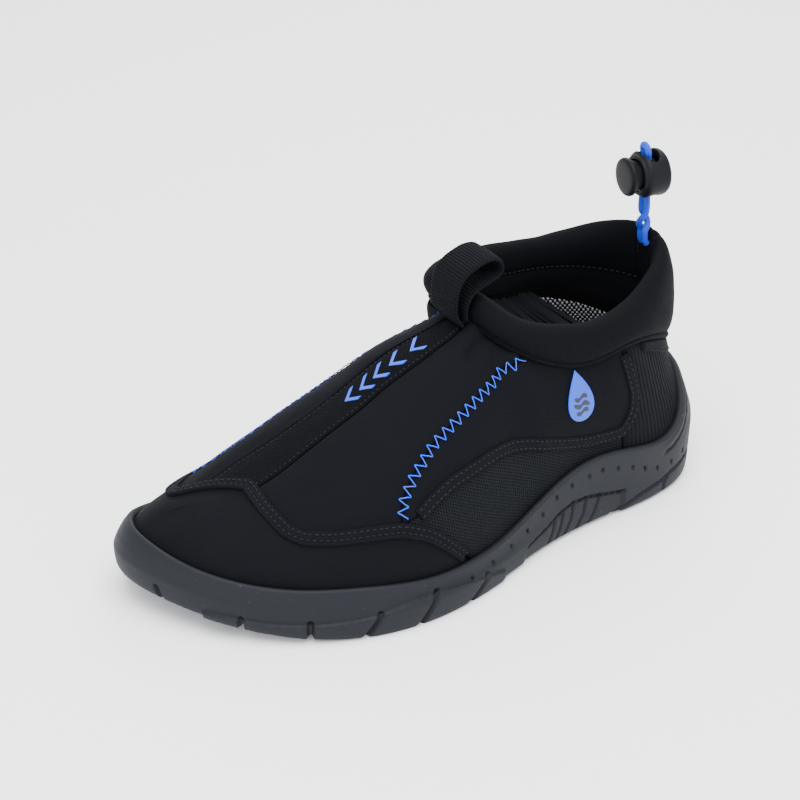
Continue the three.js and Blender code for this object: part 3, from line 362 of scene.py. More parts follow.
def tube(name, pts, r, mat, seg=10, body="shoe", closed=False, metres=False, flat=1.0, normal=None, slot=None, caps=True):
    P = np.asarray(pts, float); n = len(P); t = unit(np.gradient(P, axis=0)) if not closed else unit(np.roll(P, -1, 0)-np.roll(P, 1, 0))
    if normal is None:
        Nn = np.zeros_like(P); a = np.array([0, 0, 1.0]) if abs(t[0][2]) < .9 else np.array([1.0, 0, 0]); Nn[0] = unit(a-t[0]*np.dot(a, t[0]))
        for i in range(1, n): x = Nn[i-1]-t[i]*np.dot(Nn[i-1], t[i]); Nn[i] = unit(x)
    else: Nn = unit(normal - t*(normal*t).sum(1, keepdims=True))
    b = np.cross(t, Nn); a = np.linspace(0, 2*np.pi, seg+1)[:-1]; R = np.broadcast_to(np.asarray(r, float), (n,))
    V = P[:, None] + (b[:, None]*np.cos(a)[None, :, None] + Nn[:, None]*np.sin(a)[None, :, None]*flat)*R[:, None, None]
    L = np.r_[0, np.cumsum(np.linalg.norm(np.diff(P, axis=0), axis=1))]; sc = 1000 if metres else K
    UV = np.stack(np.broadcast_arrays(L[:, None]*sc, (a*np.mean(R)*sc)[None]), -1)
    F = [tuple(x) for x in grid_faces(n, seg, 0, closed, True)]
    if not closed and caps: F += [tuple(range(seg))[::-1], tuple((n-1)*seg+j for j in range(seg))]
    V = V.reshape(-1, 3)
    return mesh_obj(name, V, fix_winding(V, F), mat, uv=UV.reshape(-1, 2), body=body, metres=metres, sharp=None, slot=slot)


# ------------------------------------------------------------------ cord and cord lock
AZ = math.radians(77.0); A3 = np.array([math.cos(AZ), math.sin(AZ), 0]); B3 = np.array([-math.sin(AZ), math.cos(AZ), 0])
EX = np.array([.8, 98.2, 0.0]) + SHIFT; LOCK_Z = 118.5; STRAND = 1.55
at_lock = lambda a, b, z: EX + A3*a + B3*b + np.array([0, 0, z])
def catmull(P, step):
    # centripetal, so that long and short spans can meet without a loop between them
    P = np.asarray(P, float); Q = np.vstack([2*P[0]-P[1], P, 2*P[-1]-P[-2]]); out = []
    for i in range(len(P)-1):
        a, b, c, d = Q[i:i+4]; t1 = max(np.linalg.norm(b-a), 1e-6)**.5; t2 = t1+max(np.linalg.norm(c-b), 1e-6)**.5; t3 = t2+max(np.linalg.norm(d-c), 1e-6)**.5
        t = np.linspace(t1, t2, 24, endpoint=False)[:, None]
        u = (t1-t)/t1*a+t/t1*b; v = (t2-t)/(t2-t1)*b+(t-t1)/(t2-t1)*c; w = (t3-t)/(t3-t2)*c+(t-t2)/(t3-t2)*d
        x = (t2-t)/t2*u+t/t2*v; y = (t3-t)/(t3-t1)*v+(t-t1)/(t3-t1)*w; out.append((t2-t)/(t2-t1)*x+(t-t1)/(t2-t1)*y)
    X = np.concatenate(out+[P[-1:]]); L = np.r_[0, np.cumsum(np.linalg.norm(np.diff(X, axis=0), axis=1))]; n = int(L[-1]/step)+1
    return np.stack([np.interp(np.linspace(0, L[-1], n), L, X[:, k]) for k in range(3)], 1)
def cord_path():
    zb = 92.0; z1 = zb+4.2; zt = LOCK_Z+10.2; pts = [at_lock(1.0, -1.5, zb-1.3), at_lock(.25, -STRAND, zb-.1), at_lock(0, -STRAND, zb+2)]
    for i in range(7): a = math.pi*i/6-math.pi/2; pts.append(at_lock(STRAND*math.cos(a), STRAND*math.sin(a), z1+7*i/6))
    pts += [at_lock(0, STRAND, LOCK_Z-6), at_lock(0, STRAND, LOCK_Z), at_lock(-.3, STRAND, zt-3)]
    for i in range(7): a = math.pi*i/6; pts.append(at_lock(-.6-.5*math.sin(a), (STRAND+.35)*math.cos(a), zt-1.2+2.45*math.sin(a)))
    pts += [at_lock(-.3, -STRAND, zt-3), at_lock(0, -STRAND, LOCK_Z), at_lock(0, -STRAND, LOCK_Z-6)]
    for i in range(6, -1, -1): a = math.pi*i/6+math.pi/2; pts.append(at_lock(STRAND*math.cos(a), STRAND*math.sin(a), z1+7*i/6))
    pts += [at_lock(0, STRAND, zb+2), at_lock(.25, STRAND, zb-.1), at_lock(1.0, 1.5, zb-1.3)]
    return catmull(pts, .45)/1000
def cord():
    P = cord_path(); n = len(P); seg = 20; r0 = .00125
    t = unit(np.gradient(P, axis=0)); nn = np.zeros_like(P); nn[0] = unit(A3-t[0]*np.dot(A3, t[0]))
    for i in range(1, n): nn[i] = unit(nn[i-1]-t[i]*np.dot(nn[i-1], t[i]))
    b = np.cross(t, nn); a = np.linspace(0, 2*np.pi, seg, endpoint=False); L = np.r_[0, np.cumsum(np.linalg.norm(np.diff(P, axis=0), axis=1))]
    w = .5+.5*np.cos(4*a[None]+L[:, None]*2*np.pi/.0021)*np.cos(4*a[None]-L[:, None]*2*np.pi/.0021); r = r0*(.955+.045*w)
    V = P[:, None]+(b[:, None]*np.cos(a)[None, :, None]+nn[:, None]*np.sin(a)[None, :, None])*r[..., None]
    F = [tuple(x) for x in grid_faces(n, seg, 0, False, True)]+[tuple(range(seg))[::-1], tuple((n-1)*seg+j for j in range(seg))]
    V = V.reshape(-1, 3); UV = np.stack(np.broadcast_arrays(L[:, None]*1000, (a*1.25)[None]), -1).reshape(-1, 2)
    ob = mesh_obj("drawcord_braided", V, fix_winding(V, F), M_cord, body="cord_tail", slot="cord", uv=UV, metres=True, sharp=None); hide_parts("drawcord")
    return ob, P, float(L[-1])
def lathe(name, prof, seg, mat):
    prof = np.array(prof, float); a = np.linspace(0, 2*np.pi, seg, endpoint=False); V = []; F = []; m = len(prof)
    for (r, h) in prof: V += [at_lock(h, r*math.cos(x), LOCK_Z+r*math.sin(x)) for x in a]
    for i in range(m-1):
        for j in range(seg): k = (j+1) % seg; F.append((i*seg+j, i*seg+k, (i+1)*seg+k, (i+1)*seg+j))
    F += [tuple(range(seg))[::-1], tuple((m-1)*seg+j for j in range(seg))]
    V = np.array(V)/1000; return V, fix_winding(V, F)
def bored(name, prof, c, ha, hw, mat, body, node):
    V, F = lathe(name, prof, 128, mat); ob = mesh_obj(name, V, F, mat, body=None, metres=True, sharp=None)
    ang = np.linspace(0, 2*np.pi, 72, endpoint=False); C = [at_lock(c+ha*math.cos(x), hw*math.sin(x), z)/1000 for z in (LOCK_Z-15, LOCK_Z+15) for x in ang]; n = 72
    G = [(j, (j+1) % n, n+(j+1) % n, n+j) for j in range(n)]+[tuple(range(n))[::-1], tuple(n+j for j in range(n))]
    cut = mesh_obj(name+"_cut", np.array(C), fix_winding(np.array(C), G), mat, body=None, metres=True, sharp=None)
    md = ob.modifiers.new("b", "BOOLEAN"); md.operation = "DIFFERENCE"; md.object = cut; md.solver = "EXACT"
    bv = ob.modifiers.new("e", "BEVEL"); bv.width = .00045; bv.segments = 3; bv.limit_method = "ANGLE"; bv.angle_limit = math.radians(38); bv.use_clamp_overlap = True
    dg = bpy.context.evaluated_depsgraph_get(); me = bpy.data.meshes.new_from_object(ob.evaluated_get(dg)); old = ob.data; ob.modifiers.clear(); ob.data = me; bpy.data.meshes.remove(old)
    cm = cut.data; bpy.data.objects.remove(cut); bpy.data.meshes.remove(cm)
    me.materials.clear(); me.materials.append(mat); me.polygons.foreach_set("use_smooth", np.ones(len(me.polygons), bool)); me.set_sharp_from_angle(angle=math.radians(32))
    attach(ob, body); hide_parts(node); return ob
def hardware():
    prof = [(.05, 5.5), (5.9, 5.5), (6.1, 5.3), (6.1, -4.2), (6.3, -4.4), (7.0, -4.45), (7.35, -4.2), (7.5, -3.7), (7.7, -3.35), (8.3, -2.95), (8.65, -2.4), (8.8, -1.5), (8.8, 4.6), (8.65, 5.4), (8.2, 6.05), (7.5, 6.45), (6.5, 6.6), (.05, 6.6)]
    bar = bored("lock_barrel_shell", prof, .5, 3.4, 5.9, M_lock, "cord_lock", "cord_lock_barrel")
    prof = [(.05, 2.9), (5.2, 2.9), (5.6, 2.5), (5.6, -7.1), (5.75, -7.2), (6.7, -7.2), (7.05, -7.35), (7.2, -7.7), (7.2, -8.3), (7.0, -8.85), (6.4, -9.2), (5.2, -9.38), (3.4, -9.46), (.05, -9.5)]
    but = bored("lock_button_stem", prof, -1.2, 3.3, 3.8, M_but, "lock_button", "cord_lock_button")
    return bar, but
_c, _P, _L = cord(); _bar, _but = hardware()

# ------------------------------------------------------------------ seam lines on the wall
CAP = [[6.75,0],[6.78,.039],[7.14,.128],[7.72,.262],[8.23,.344],[8.71,.385],[9.25,.424],[9.7,.468],[9.96,.54],[10.28,.73],[10.54,.914],[10.65,1.0],[10.78,1.068],[11.14,1.278],[11.33,1.385],[11.2,1.46],[10.9,1.532],[10.4,1.576],[9.4,1.656],[8.6,1.738],[7.7,1.872],[7.2,2.0]]
CAPC = curve_pts(E, CAP, .6, 22)
def cutcap(w0, w1, rev=False):
    i, j = np.argmin(abs(CAPC[:, 1]-w0)), np.argmin(abs(CAPC[:, 1]-w1)); q = CAPC[i:j+1]; return q[::-1] if rev else q
R_ = lambda q: q[::-1]
ZLc = curve_pts(E, [[8.2,.350],[8.1,.45],[7.84,.511],[7.36,.567],[6.76,.59],[6.11,.62],[5.47,.72],[5.0,.90],[4.87,1.0]], .6, 20)
ZMc = curve_pts(E, [[10.4,1.576],[10,1.49],[9,1.41],[8,1.36],[7,1.33],[6.2,1.29],[5.47,1.22],[5.0,1.08],[4.87,1.0]], .6, 20)
QLc = curve_pts(E, [[8.2,.350],[7.9,.355],[7.58,.383],[7.18,.397],[6.49,.386],[5.77,.376],[4.71,.405],[3.84,.404],[3.34,.394]], .6, 14)
QMc = curve_pts(E, [[8.9,1.697],[8.3,1.64],[7.58,1.612],[7.18,1.603],[6.49,1.614],[5.77,1.624],[4.71,1.595],[3.84,1.596],[3.34,1.606]], .6, 14)
BKc = curve_pts(E, [[3.34,.394],[3.07,.504],[2.96,.616],[2.98,.766],[3.05,1.0]], .6, 10)
mir = lambda q: np.stack([q[:, 0], 2-q[:, 1]], 1)
SRc = curve_pts(E, [[10.56,.95],[9.45,.97],[8.5,.965],[7.6,.95],[6.9,.92],[6.4,.905],[6.05,.93]], .6, 14)
SMc = curve_pts(E, [[11.1,1.262],[10.25,1.24],[9.5,1.18],[8.81,1.143],[8.16,1.138],[6.98,1.10],[6.05,1.08]], .6, 14)
line = lambda *p: curve_pts(E, [list(x) for x in p], 1.0, 0)

# ------------------------------------------------------------------ upper panels
def toe_cap():
    ws = np.linspace(0, 2, 141); ws = 1+np.sign(ws-1)*np.abs(ws-1)
    idx = [np.argmin(abs(CAPC[:, 1]-w)) for w in ws]; c = np.interp(ws, CAPC[:, 1], CAPC[:, 0]); nu = 62
    u = np.linspace(0, 1, nu+1)[:, None]; s = c[None]+(13-c[None])*u; w = np.broadcast_to(ws[None], s.shape)
    P = E(s, w); Q = nE(s, w); P[-1, ws > 1] = P[-1, ws < 1][::-1]; Q[-1, ws > 1] = Q[-1, ws < 1][::-1]
    dL, dR, dB, dT = edge_dist(P)
    # smooth the fold along the toe's centre line
    off = -.9*(1-sstep(dL/1.5)) + .35*sstep(dL/9) + sstep(dL/5)*(.28*lump(P)+.05*crease(P))
    top = P+Q*off[..., None]; bot = P+Q*(-PANEL)
    m, n = top.shape[:2]
    def sm(A, k):
        for _ in range(k):
            X = A.copy(); mirror = A[-2:-1, ::-1]; B = np.concatenate([A, mirror], 0)
            X[1:] = .5*A[1:]+.25*B[:-2][0:m-1]+.25*B[2:m+1]; A = X
            X = A.copy(); X[:, 1:-1] = .5*A[:, 1:-1]+.25*A[:, :-2]+.25*A[:, 2:]; A = X
        return A
    near = sstep(1-dR/34)[..., None]; T2 = sm(top, 60); B2 = sm(bot, 60)
    k = near*.85; top = top*(1-k)+T2*k; bot = bot*(1-k)+B2*k
    V = np.concatenate([top.reshape(-1, 3), bot.reshape(-1, 3)]); o = m*n
    F = [tuple(x) for x in grid_faces(m, n, 0)]+[tuple(x) for x in grid_faces(m, n, o, flip=True)]
    for i in range(m-1): F.append((i*n, o+i*n, o+(i+1)*n, (i+1)*n)); F.append((i*n+n-1, (i+1)*n+n-1, o+(i+1)*n+n-1, o+i*n+n-1))
    for j in range(n-1): F.append((j, j+1, o+j+1, o+j))
    # weld the fold
    half = n//2; mp = np.arange(2*o)
    for b0 in (0, o):
        for j in range(half+1, n): mp[b0+(m-1)*n+j] = b0+(m-1)*n+(n-1-j)
    F = [tuple(mp[list(f)]) for f in F]; F = [tuple(dict.fromkeys(f)) for f in F]; F = [f for f in F if len(f) > 2]
    used = np.unique(np.concatenate([np.array(f) for f in F])); re = -np.ones(2*o, int); re[used] = np.arange(len(used)); F = [tuple(re[list(f)]) for f in F]; V = V[used]
    UV = np.stack([P[..., 1]*K, bil(_LW, s, w)*K], -1).reshape(-1, 2); UV = np.concatenate([UV, UV])[used]
    ob = mesh_obj("toe_cap_shell", V, fix_winding(V, F), M_toe, uv=UV, slot="neoprene"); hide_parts("toe_cap")
toe_cap()
collar_l = line((4.87, 1.0), (5.4, .975), (6.05, .93)); collar_m = line((4.87, 1.0), (5.4, 1.03), (6.05, 1.08))
def tuck(P, s, w, d):   # shallow gusset fold under the collar, beside the instep strip
    a = np.array([[6.39, .776], [5.9, .83], [5.62, .86], [5.22, .93]]); A = E(a[:, 0], a[:, 1]); r = np.min(np.linalg.norm(P[..., None, :]-np.stack([A[0]*(1-t)+A[1]*t for t in np.linspace(0, 1, 12)]+[A[1]*(1-t)+A[2]*t for t in np.linspace(0, 1, 12)]+[A[2]*(1-t)+A[3]*t for t in np.linspace(0, 1, 12)]), axis=-1), axis=-1)
    return -1.1*np.exp(-(r/1.6)**2)+.7*np.exp(-((r-4.5)/2.5)**2)*sstep(d/4)
panel("vamp_lateral_cloth", E, nE, ZLc, SRc, cutcap(.350, .95), collar_l, M_neo, "vamp_lateral", slot="neoprene", extra=tuck)
panel("vamp_medial_cloth", E, nE, ZMc, SMc, cutcap(1.262, 1.576, True), collar_m, M_neo, "vamp_medial", slot="neoprene")
panel("instep_strip_tape", E, nE, SRc, SMc, cutcap(.95, 1.262), line((6.05, .93), (6.1, 1.0), (6.05, 1.08)), M_ela, "instep_strip", dout=.2, puff=.25, roll=.7, lumps=.2, slot="elastic_tape")
topq = np.concatenate([line((3.05, 1.0), (4.0, 1.0), (4.87, 1.0))[:-1], R_(ZLc)]); topm = np.concatenate([line((3.05, 1.0), (4.0, 1.0), (4.87, 1.0))[:-1], R_(ZMc)])
panel("quarter_lateral_cloth", E, nE, R_(QLc), topq, BKc, line((8.2, .350), (8.2, .3502)), M_neo, "quarter_lateral", slot="neoprene", sides=(1, 0, 1, 1))
panel("quarter_medial_cloth", E, nE, R_(QMc), topm, mir(BKc), cutcap(1.576, 1.697, True), M_neo, "quarter_medial", slot="neoprene")
panel("mesh_lateral_cloth", E, nE, line((3.34, 0), (4.5, 0), (6.75, 0)), R_(QLc), line((3.34, 0), (3.34, .394)), cutcap(0, .350), M_mesh, "mesh_lateral", dout=-.3, puff=.2, lumps=.25, slot="mesh")
panel("mesh_medial_cloth", E, nE, line((3.34, 2), (4.5, 2), (7.2, 2)), R_(QMc), line((3.34, 2), (3.34, 1.606)), cutcap(1.697, 2, True), M_mesh, "mesh_medial", dout=-.3, puff=.2, lumps=.25, slot="mesh")
neg = lambda q: np.stack([-q[:, 0], q[:, 1]], 1)
lineS = lambda *p: curve_pts(S, [list(x) for x in p], 1.0, 0)
full_bk = np.concatenate([line((3.34, 0), (3.34, .394))[:-1], BKc])
panel("heel_panel_cloth", S, nS, lineS((-3.34, 0), (0, 0), (3.34, 0)), lineS((-3.05, .995), (0, .995), (3.05, .995)), neg(full_bk), full_bk, M_rib, "heel_panel", dout=-.2, puff=.3, lumps=.3, slot="ribbed_textile")

# ------------------------------------------------------------------ tapes with two stitch rows
WELT = [(-1.02, .0), (-1.0, .55), (-.9, .88), (-.72, .9), (-.52, .66), (-.34, .84), (-.1, .92), (.12, .86), (.3, .66), (.46, .86), (.6, 1.3), (.76, 1.62), (.92, 1.5), (1.04, .95), (1.06, .0)]
TAPE = [(-1.02, .0), (-1.0, .6), (-.92, .9), (-.74, .92), (-.56, .68), (-.38, .86), (0, .95), (.38, .86), (.56, .68), (.74, .92), (.92, .9), (1.0, .6), (1.02, .0)]
_, qc = sweep("toe_cap_tape", E, nE, CAPC[(CAPC[:, 1] > .10) & (CAPC[:, 1] < 1.9)], WELT, 2.75, M_bind, lift=-.1, slot="binding", node="toe_cap_binding")
stitches("toe_cap_stitches", E, nE, qc, [-.52*2.75, .3*2.75], .72, M_dark)
ql = curve_pts(E, np.concatenate([QLc[14:], BKc[3:int(len(BKc)*.90)]]), .6, 30); qm = curve_pts(E, np.concatenate([QMc[8:], mir(BKc)[3:int(len(BKc)*.90)]]), .6, 30)
_, q1 = sweep("quarter_tape_lateral", E, nE, ql, TAPE, 2.6, M_bind, slot="binding", node="quarter_binding_lateral"); stitches("quarter_stitches_lateral", E, nE, q1, [-.56*2.6, .56*2.6], .78, M_dark)
_, q2 = sweep("quarter_tape_medial", E, nE, qm, TAPE, 2.6, M_bind, slot="binding", node="quarter_binding_medial"); stitches("quarter_stitches_medial", E, nE, q2, [-.56*2.6, .56*2.6], .78, M_dark)
# blue zigzag flatlock
def zigzag(name, q):
    P0 = E(q[:, 0], q[:, 1]); Lt = np.linalg.norm(np.diff(P0, axis=0), axis=1).sum(); q = resample(E, q, int(Lt/.4)); P = E(q[:, 0], q[:, 1]); Q = nE(q[:, 0], q[:, 1]); t = unit(np.gradient(P, axis=0)); b = unit(np.cross(Q, t)); L = np.r_[0, np.cumsum(np.linalg.norm(np.diff(P, axis=0), axis=1))]
    pitch = 4.6; n = int((L[-1]-3)/pitch*2); V = []; at = lambda A, x: np.array([np.interp(x, L, A[:, k]) for k in range(3)]).T
    xs, os_, hs = [], [], []
    for i in range(n+1):
        x = 1.5+i*pitch/2; o = 2.1*(1 if i % 2 else -1)
        for dx, oo, hh in ((-.22, o*.93, .42), (0, o, .25), (.22, o*.93, .42)): xs.append(x+dx); os_.append(oo); hs.append(hh)
        if i < n:
            for k in (.3, .5, .7): xs.append(x+pitch/2*k); os_.append(o*(1-2*k)); hs.append(.62-.18*abs(k-.5)*2)
    xs, os_, hs = map(np.array, (xs, os_, hs)); pts = at(P, xs)+at(b, xs)*os_[:, None]+at(Q, xs)*(hs+.05)[:, None]
    tube(name, pts, .27, M_blue, 8, normal=at(Q, xs), flat=.8)
zigzag("zigzag_thread_lateral", ZLc[3:]); zigzag("zigzag_thread_medial", ZMc[3:3+int((len(ZMc)-3)*.7)])
# instep strip edge stitching
stitches("strip_edge_stitches_lateral", E, nE, SRc[2:], [1.3], .05, M_dark, 2.2, 1.4, .26); stitches("strip_edge_stitches_medial", E, nE, SMc[2:], [-1.3], .05, M_dark, 2.2, 1.4, .26)

# ------------------------------------------------------------------ collar
colT = cub(np.array([TL[k] if k <= 6 else TM[14+k] for k in range(12)], float)); colR = cub(RIM)
def colN(c):
    m = lambda q: (colT(q)+colR(q))/2; d = (m(c+.05)-m(c-.05))[..., :2]; d = unit(d); return np.stack([-d[..., 1], d[..., 0], 0*d[..., 0]], -1)
SEC = np.array([[-.01,.2],[.02,1.3],[.08,2.6],[.2,4.0],[.4,4.9],[.62,5.0],[.8,4.3],[.92,3.0],[.985,1.3],[1.0,-.5],[.97,-2.2],[.89,-3.6],[.76,-4.3],[.6,-4.2],[.48,-3.5],[.42,-2.9],[.3,-3.3],[.12,-3.1],[.0,-2.4],[-.02,-1.0]])
secf = cub(SEC)
def colS(c, k, off=0.0):
    # c: station round the collar, k: station round the roll's own section
    c, k = np.broadcast_arrays(np.asarray(c, float), np.asarray(k, float)); B = colT(c)+[0, 0, .3]; R = colR(c); q = secf(k)
    d = (c-6.15+6) % 12-6; pin = 1-.8*np.exp(-(d/.5)**2); o = np.where(q[..., 1] > 0, q[..., 1]*pin, q[..., 1])
    V = B+(R-B)*q[..., 0, None]+colN(c)*o[..., None]; cc = B+(R-B)*np.clip(q[..., 0, None], .1, .9); out = unit(V-cc)
    w = sstep((q[..., 0]-.02)/.25); dd = (c-.08+6) % 12-6
    amp = .32*lump(V)+.12*crease(V)-.9*np.exp(-((dd-.36)/.05)**2)-.9*np.exp(-((dd+.36)/.05)**2)-.7*np.exp(-(dd/.09)**2)*np.exp(-((q[..., 0]-.9)/.14)**2)
    return V+out*((amp*w)+off)[..., None]
def colNn(c, k):
    return -unit(np.cross(colS(c+.02, k)-colS(c-.02, k), colS(c, k+.1)-colS(c, k-.1)))
def collar():
    n, m = 420, 84; c = np.arange(n)*12/n; k = np.linspace(0, len(SEC), m, endpoint=False); V = colS(c[:, None], k[None])
    L = np.cumsum(np.linalg.norm(np.diff(V[:, 30], axis=0, append=V[:1, 30]), axis=1)); kv = np.r_[0, np.cumsum(np.linalg.norm(np.diff(V[60], axis=0), axis=1))]
    UV = np.stack(np.broadcast_arrays(L[:, None]*K, kv[None]*K), -1)
    F = [tuple(x) for x in grid_faces(n, m, 0, True, True)]; V = V.reshape(-1, 3); F = fix_winding(V, F)
    ob = mesh_obj("collar_padded", V, F, M_col, uv=UV.reshape(-1, 2), slot="collar_textile", sharp=None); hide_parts("collar")
    cen = colT(0)*.5+colR(0)*.5; sg = 1.0 if np.dot(colNn(np.array(6.0), np.array(5.0)), [0, -1, 0]) > 0 else -1.0
    nf = lambda c, k: sg*colNn(c, k)
    q = np.stack([np.linspace(.2, 11.8, 400), np.full(400, 14.55)], 1); stitches("collar_inner_stitches", colS, nf, q, [0.0], .12, M_dark, 2.6, 1.9, .36)
    c = np.linspace(0, 12.03, 420); tube("collar_seam_roll", colT(c)+colN(c)*.9+np.array([0, 0, .1])+nf(c, np.full(420, 2.0))*0, 1.35, M_col, 14)
    for dc in (.44, -.28):
        q = np.stack([np.full(60, .08+dc-.08), np.linspace(8.0, 12.6, 60)], 1); stitches("collar_tuck_stitches_"+("a" if dc > 0 else "b"), colS, nf, q, [0.0], .1, M_dark, 2.0, 1.4, .3)
collar()

# ------------------------------------------------------------------ sole
def sole():
    NS, NR = 1280, 60
    s = np.arange(NS)*N/NS; o = fo(s); n = no(s); z = spring(o[:, 1]); r = fR(s)
    W = lambda t, d: S(s, t)+nS(s, t)*np.asarray(d)[..., None] if np.ndim(d) else S(s, t)+nS(s, t)*d
    oz = lambda k, h: np.stack([o[:, 0]+n[:, 0]*k, o[:, 1]+n[:, 1]*k, z+h], 1)
    zi = lambda k: np.stack([o[:, 0]+n[:, 0]*k, o[:, 1]+n[:, 1]*k, spring(o[:, 1]+n[:, 1]*k)], 1)
    key = [zi(-3.2), zi(-1.2)+[0, 0, .5], oz(-.1, 2.4), oz(.35, 6), oz(.5, 10), W(r*.45, 3.5), W(r*.72, 3.1), W(r*.92, 2.9), W(r*.985, 2.2), W(r*1.0, 1.2), W(r*.99, .35)]
    Kp = np.stack(key, 1); d = np.linalg.norm(np.diff(Kp, axis=1), axis=2); L = np.concatenate([np.zeros((NS, 1)), np.cumsum(d, 1)], 1)
    # even resampling of each section with a light smoothing
    rows = np.stack([np.stack([np.interp(np.linspace(0, L[i, -1], NR), L[i], Kp[i, :, k]) for k in range(3)], 1) for i in range(NS)])
    for _ in range(5): rows[:, 1:-1] = .25*rows[:, :-2]+.5*rows[:, 1:-1]+.25*rows[:, 2:]
    inner = [W(r*q, .45) for q in (.97, .8, .6, .4, .2, .01)]; F0 = S(s, 0*s); fl = np.stack([F0[:, 0]+n[:, 0]*.4, F0[:, 1]+n[:, 1]*.4, 6+spring(F0[:, 1]+n[:, 1]*.4)], 1)
    G = np.concatenate([rows, np.stack(inner+[fl], 1)], 1); nr = G.shape[1]
    dn = unit(np.cross(np.roll(G, -1, 0)-np.roll(G, 1, 0), np.gradient(G, axis=1)))
    sgn = np.sign((dn[:, 12]*np.concatenate([n, 0*n[:, :1]], 1)).sum(1).mean()); dn = dn*sgn
    relief = sole_relief(G[:, :NR], s); G[:, :NR] += dn[:, :NR]*relief[..., None]; G[:, :NR, 2] = np.maximum(G[:, :NR, 2], spring(G[:, :NR, 1]))   # blocks end flush with the tread
    V = [G.reshape(-1, 3)]; F = [tuple(x) for x in grid_faces(NS, nr, 0, True)]; base = NS*nr
    ym = np.clip((o[:, 1]+fo(26-s)[:, 1])/2, -98, 100); xm = np.interp(ym, [-98,-90,-65,-40,-15,10,35,60,100], [-20,-16,-6,.5,5,5.3,4,2.3,2]); sp = np.stack([xm, ym], 1)
    FR = np.linspace(1, 0, 26)[1:]
    for (ri, z0, top) in ((0, 0.0, False), (nr-1, 6.0, True)):
        ring = G[:, ri]; prev = np.arange(NS)*nr+ri
        for fr in (FR if not top else FR[4::5]):
            q = sp+(ring[:, :2]-sp)*fr; zz = z0+spring(q[:, 1]); P = np.concatenate([q, zz[:, None]], 1)
            if not top: P[:, 2] += tread(P)
            V.append(P); cur = base+np.arange(NS); base += NS
            for i in range(NS):
                j = (i+1) % NS; F.append((prev[i], prev[j], cur[j], cur[i]) if top else (prev[j], prev[i], cur[i], cur[j]))
            prev = cur
    V = np.concatenate(V); key = np.round(V*400).astype(np.int64); _, first, inv = np.unique(key, axis=0, return_index=True, return_inverse=True); inv = inv.ravel()
    F = [tuple(dict.fromkeys(inv[list(f)].tolist())) for f in F]; F = [f for f in F if len(f) > 2]; seen = set(); F2 = []
    for f in F:
        k = tuple(sorted(f))
        if k in seen: continue
        seen.add(k); F2.append(f)
    V = V[first]; UV = V[:, 1:3]*K
    ob = mesh_obj("outsole_moulded", V, fix_winding(V, F2), M_rub, uv=UV, slot="sole_rubber", sharp=42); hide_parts("outsole")
def seg_dist(P, poly):
    P = np.asarray(P); best = np.full(P.shape[:-1], 1e9); poly = np.asarray(poly, float)
    for a, b in zip(poly[:-1], poly[1:]):
        ab = b-a; t = np.clip(((P-a)@ab)/(ab@ab), 0, 1); best = np.minimum(best, np.linalg.norm(P-(a+t[..., None]*ab), axis=-1))
    return best
_sa = np.linspace(0, 13, 1301); _oa = fo(_sa); _AL = np.r_[0, np.cumsum(np.linalg.norm(np.diff(_oa, axis=0), axis=1))]
arc = lambda s: np.interp(s, _sa, _AL)
def pl(*p): return np.array([[arc(a), b] for a, b in p])
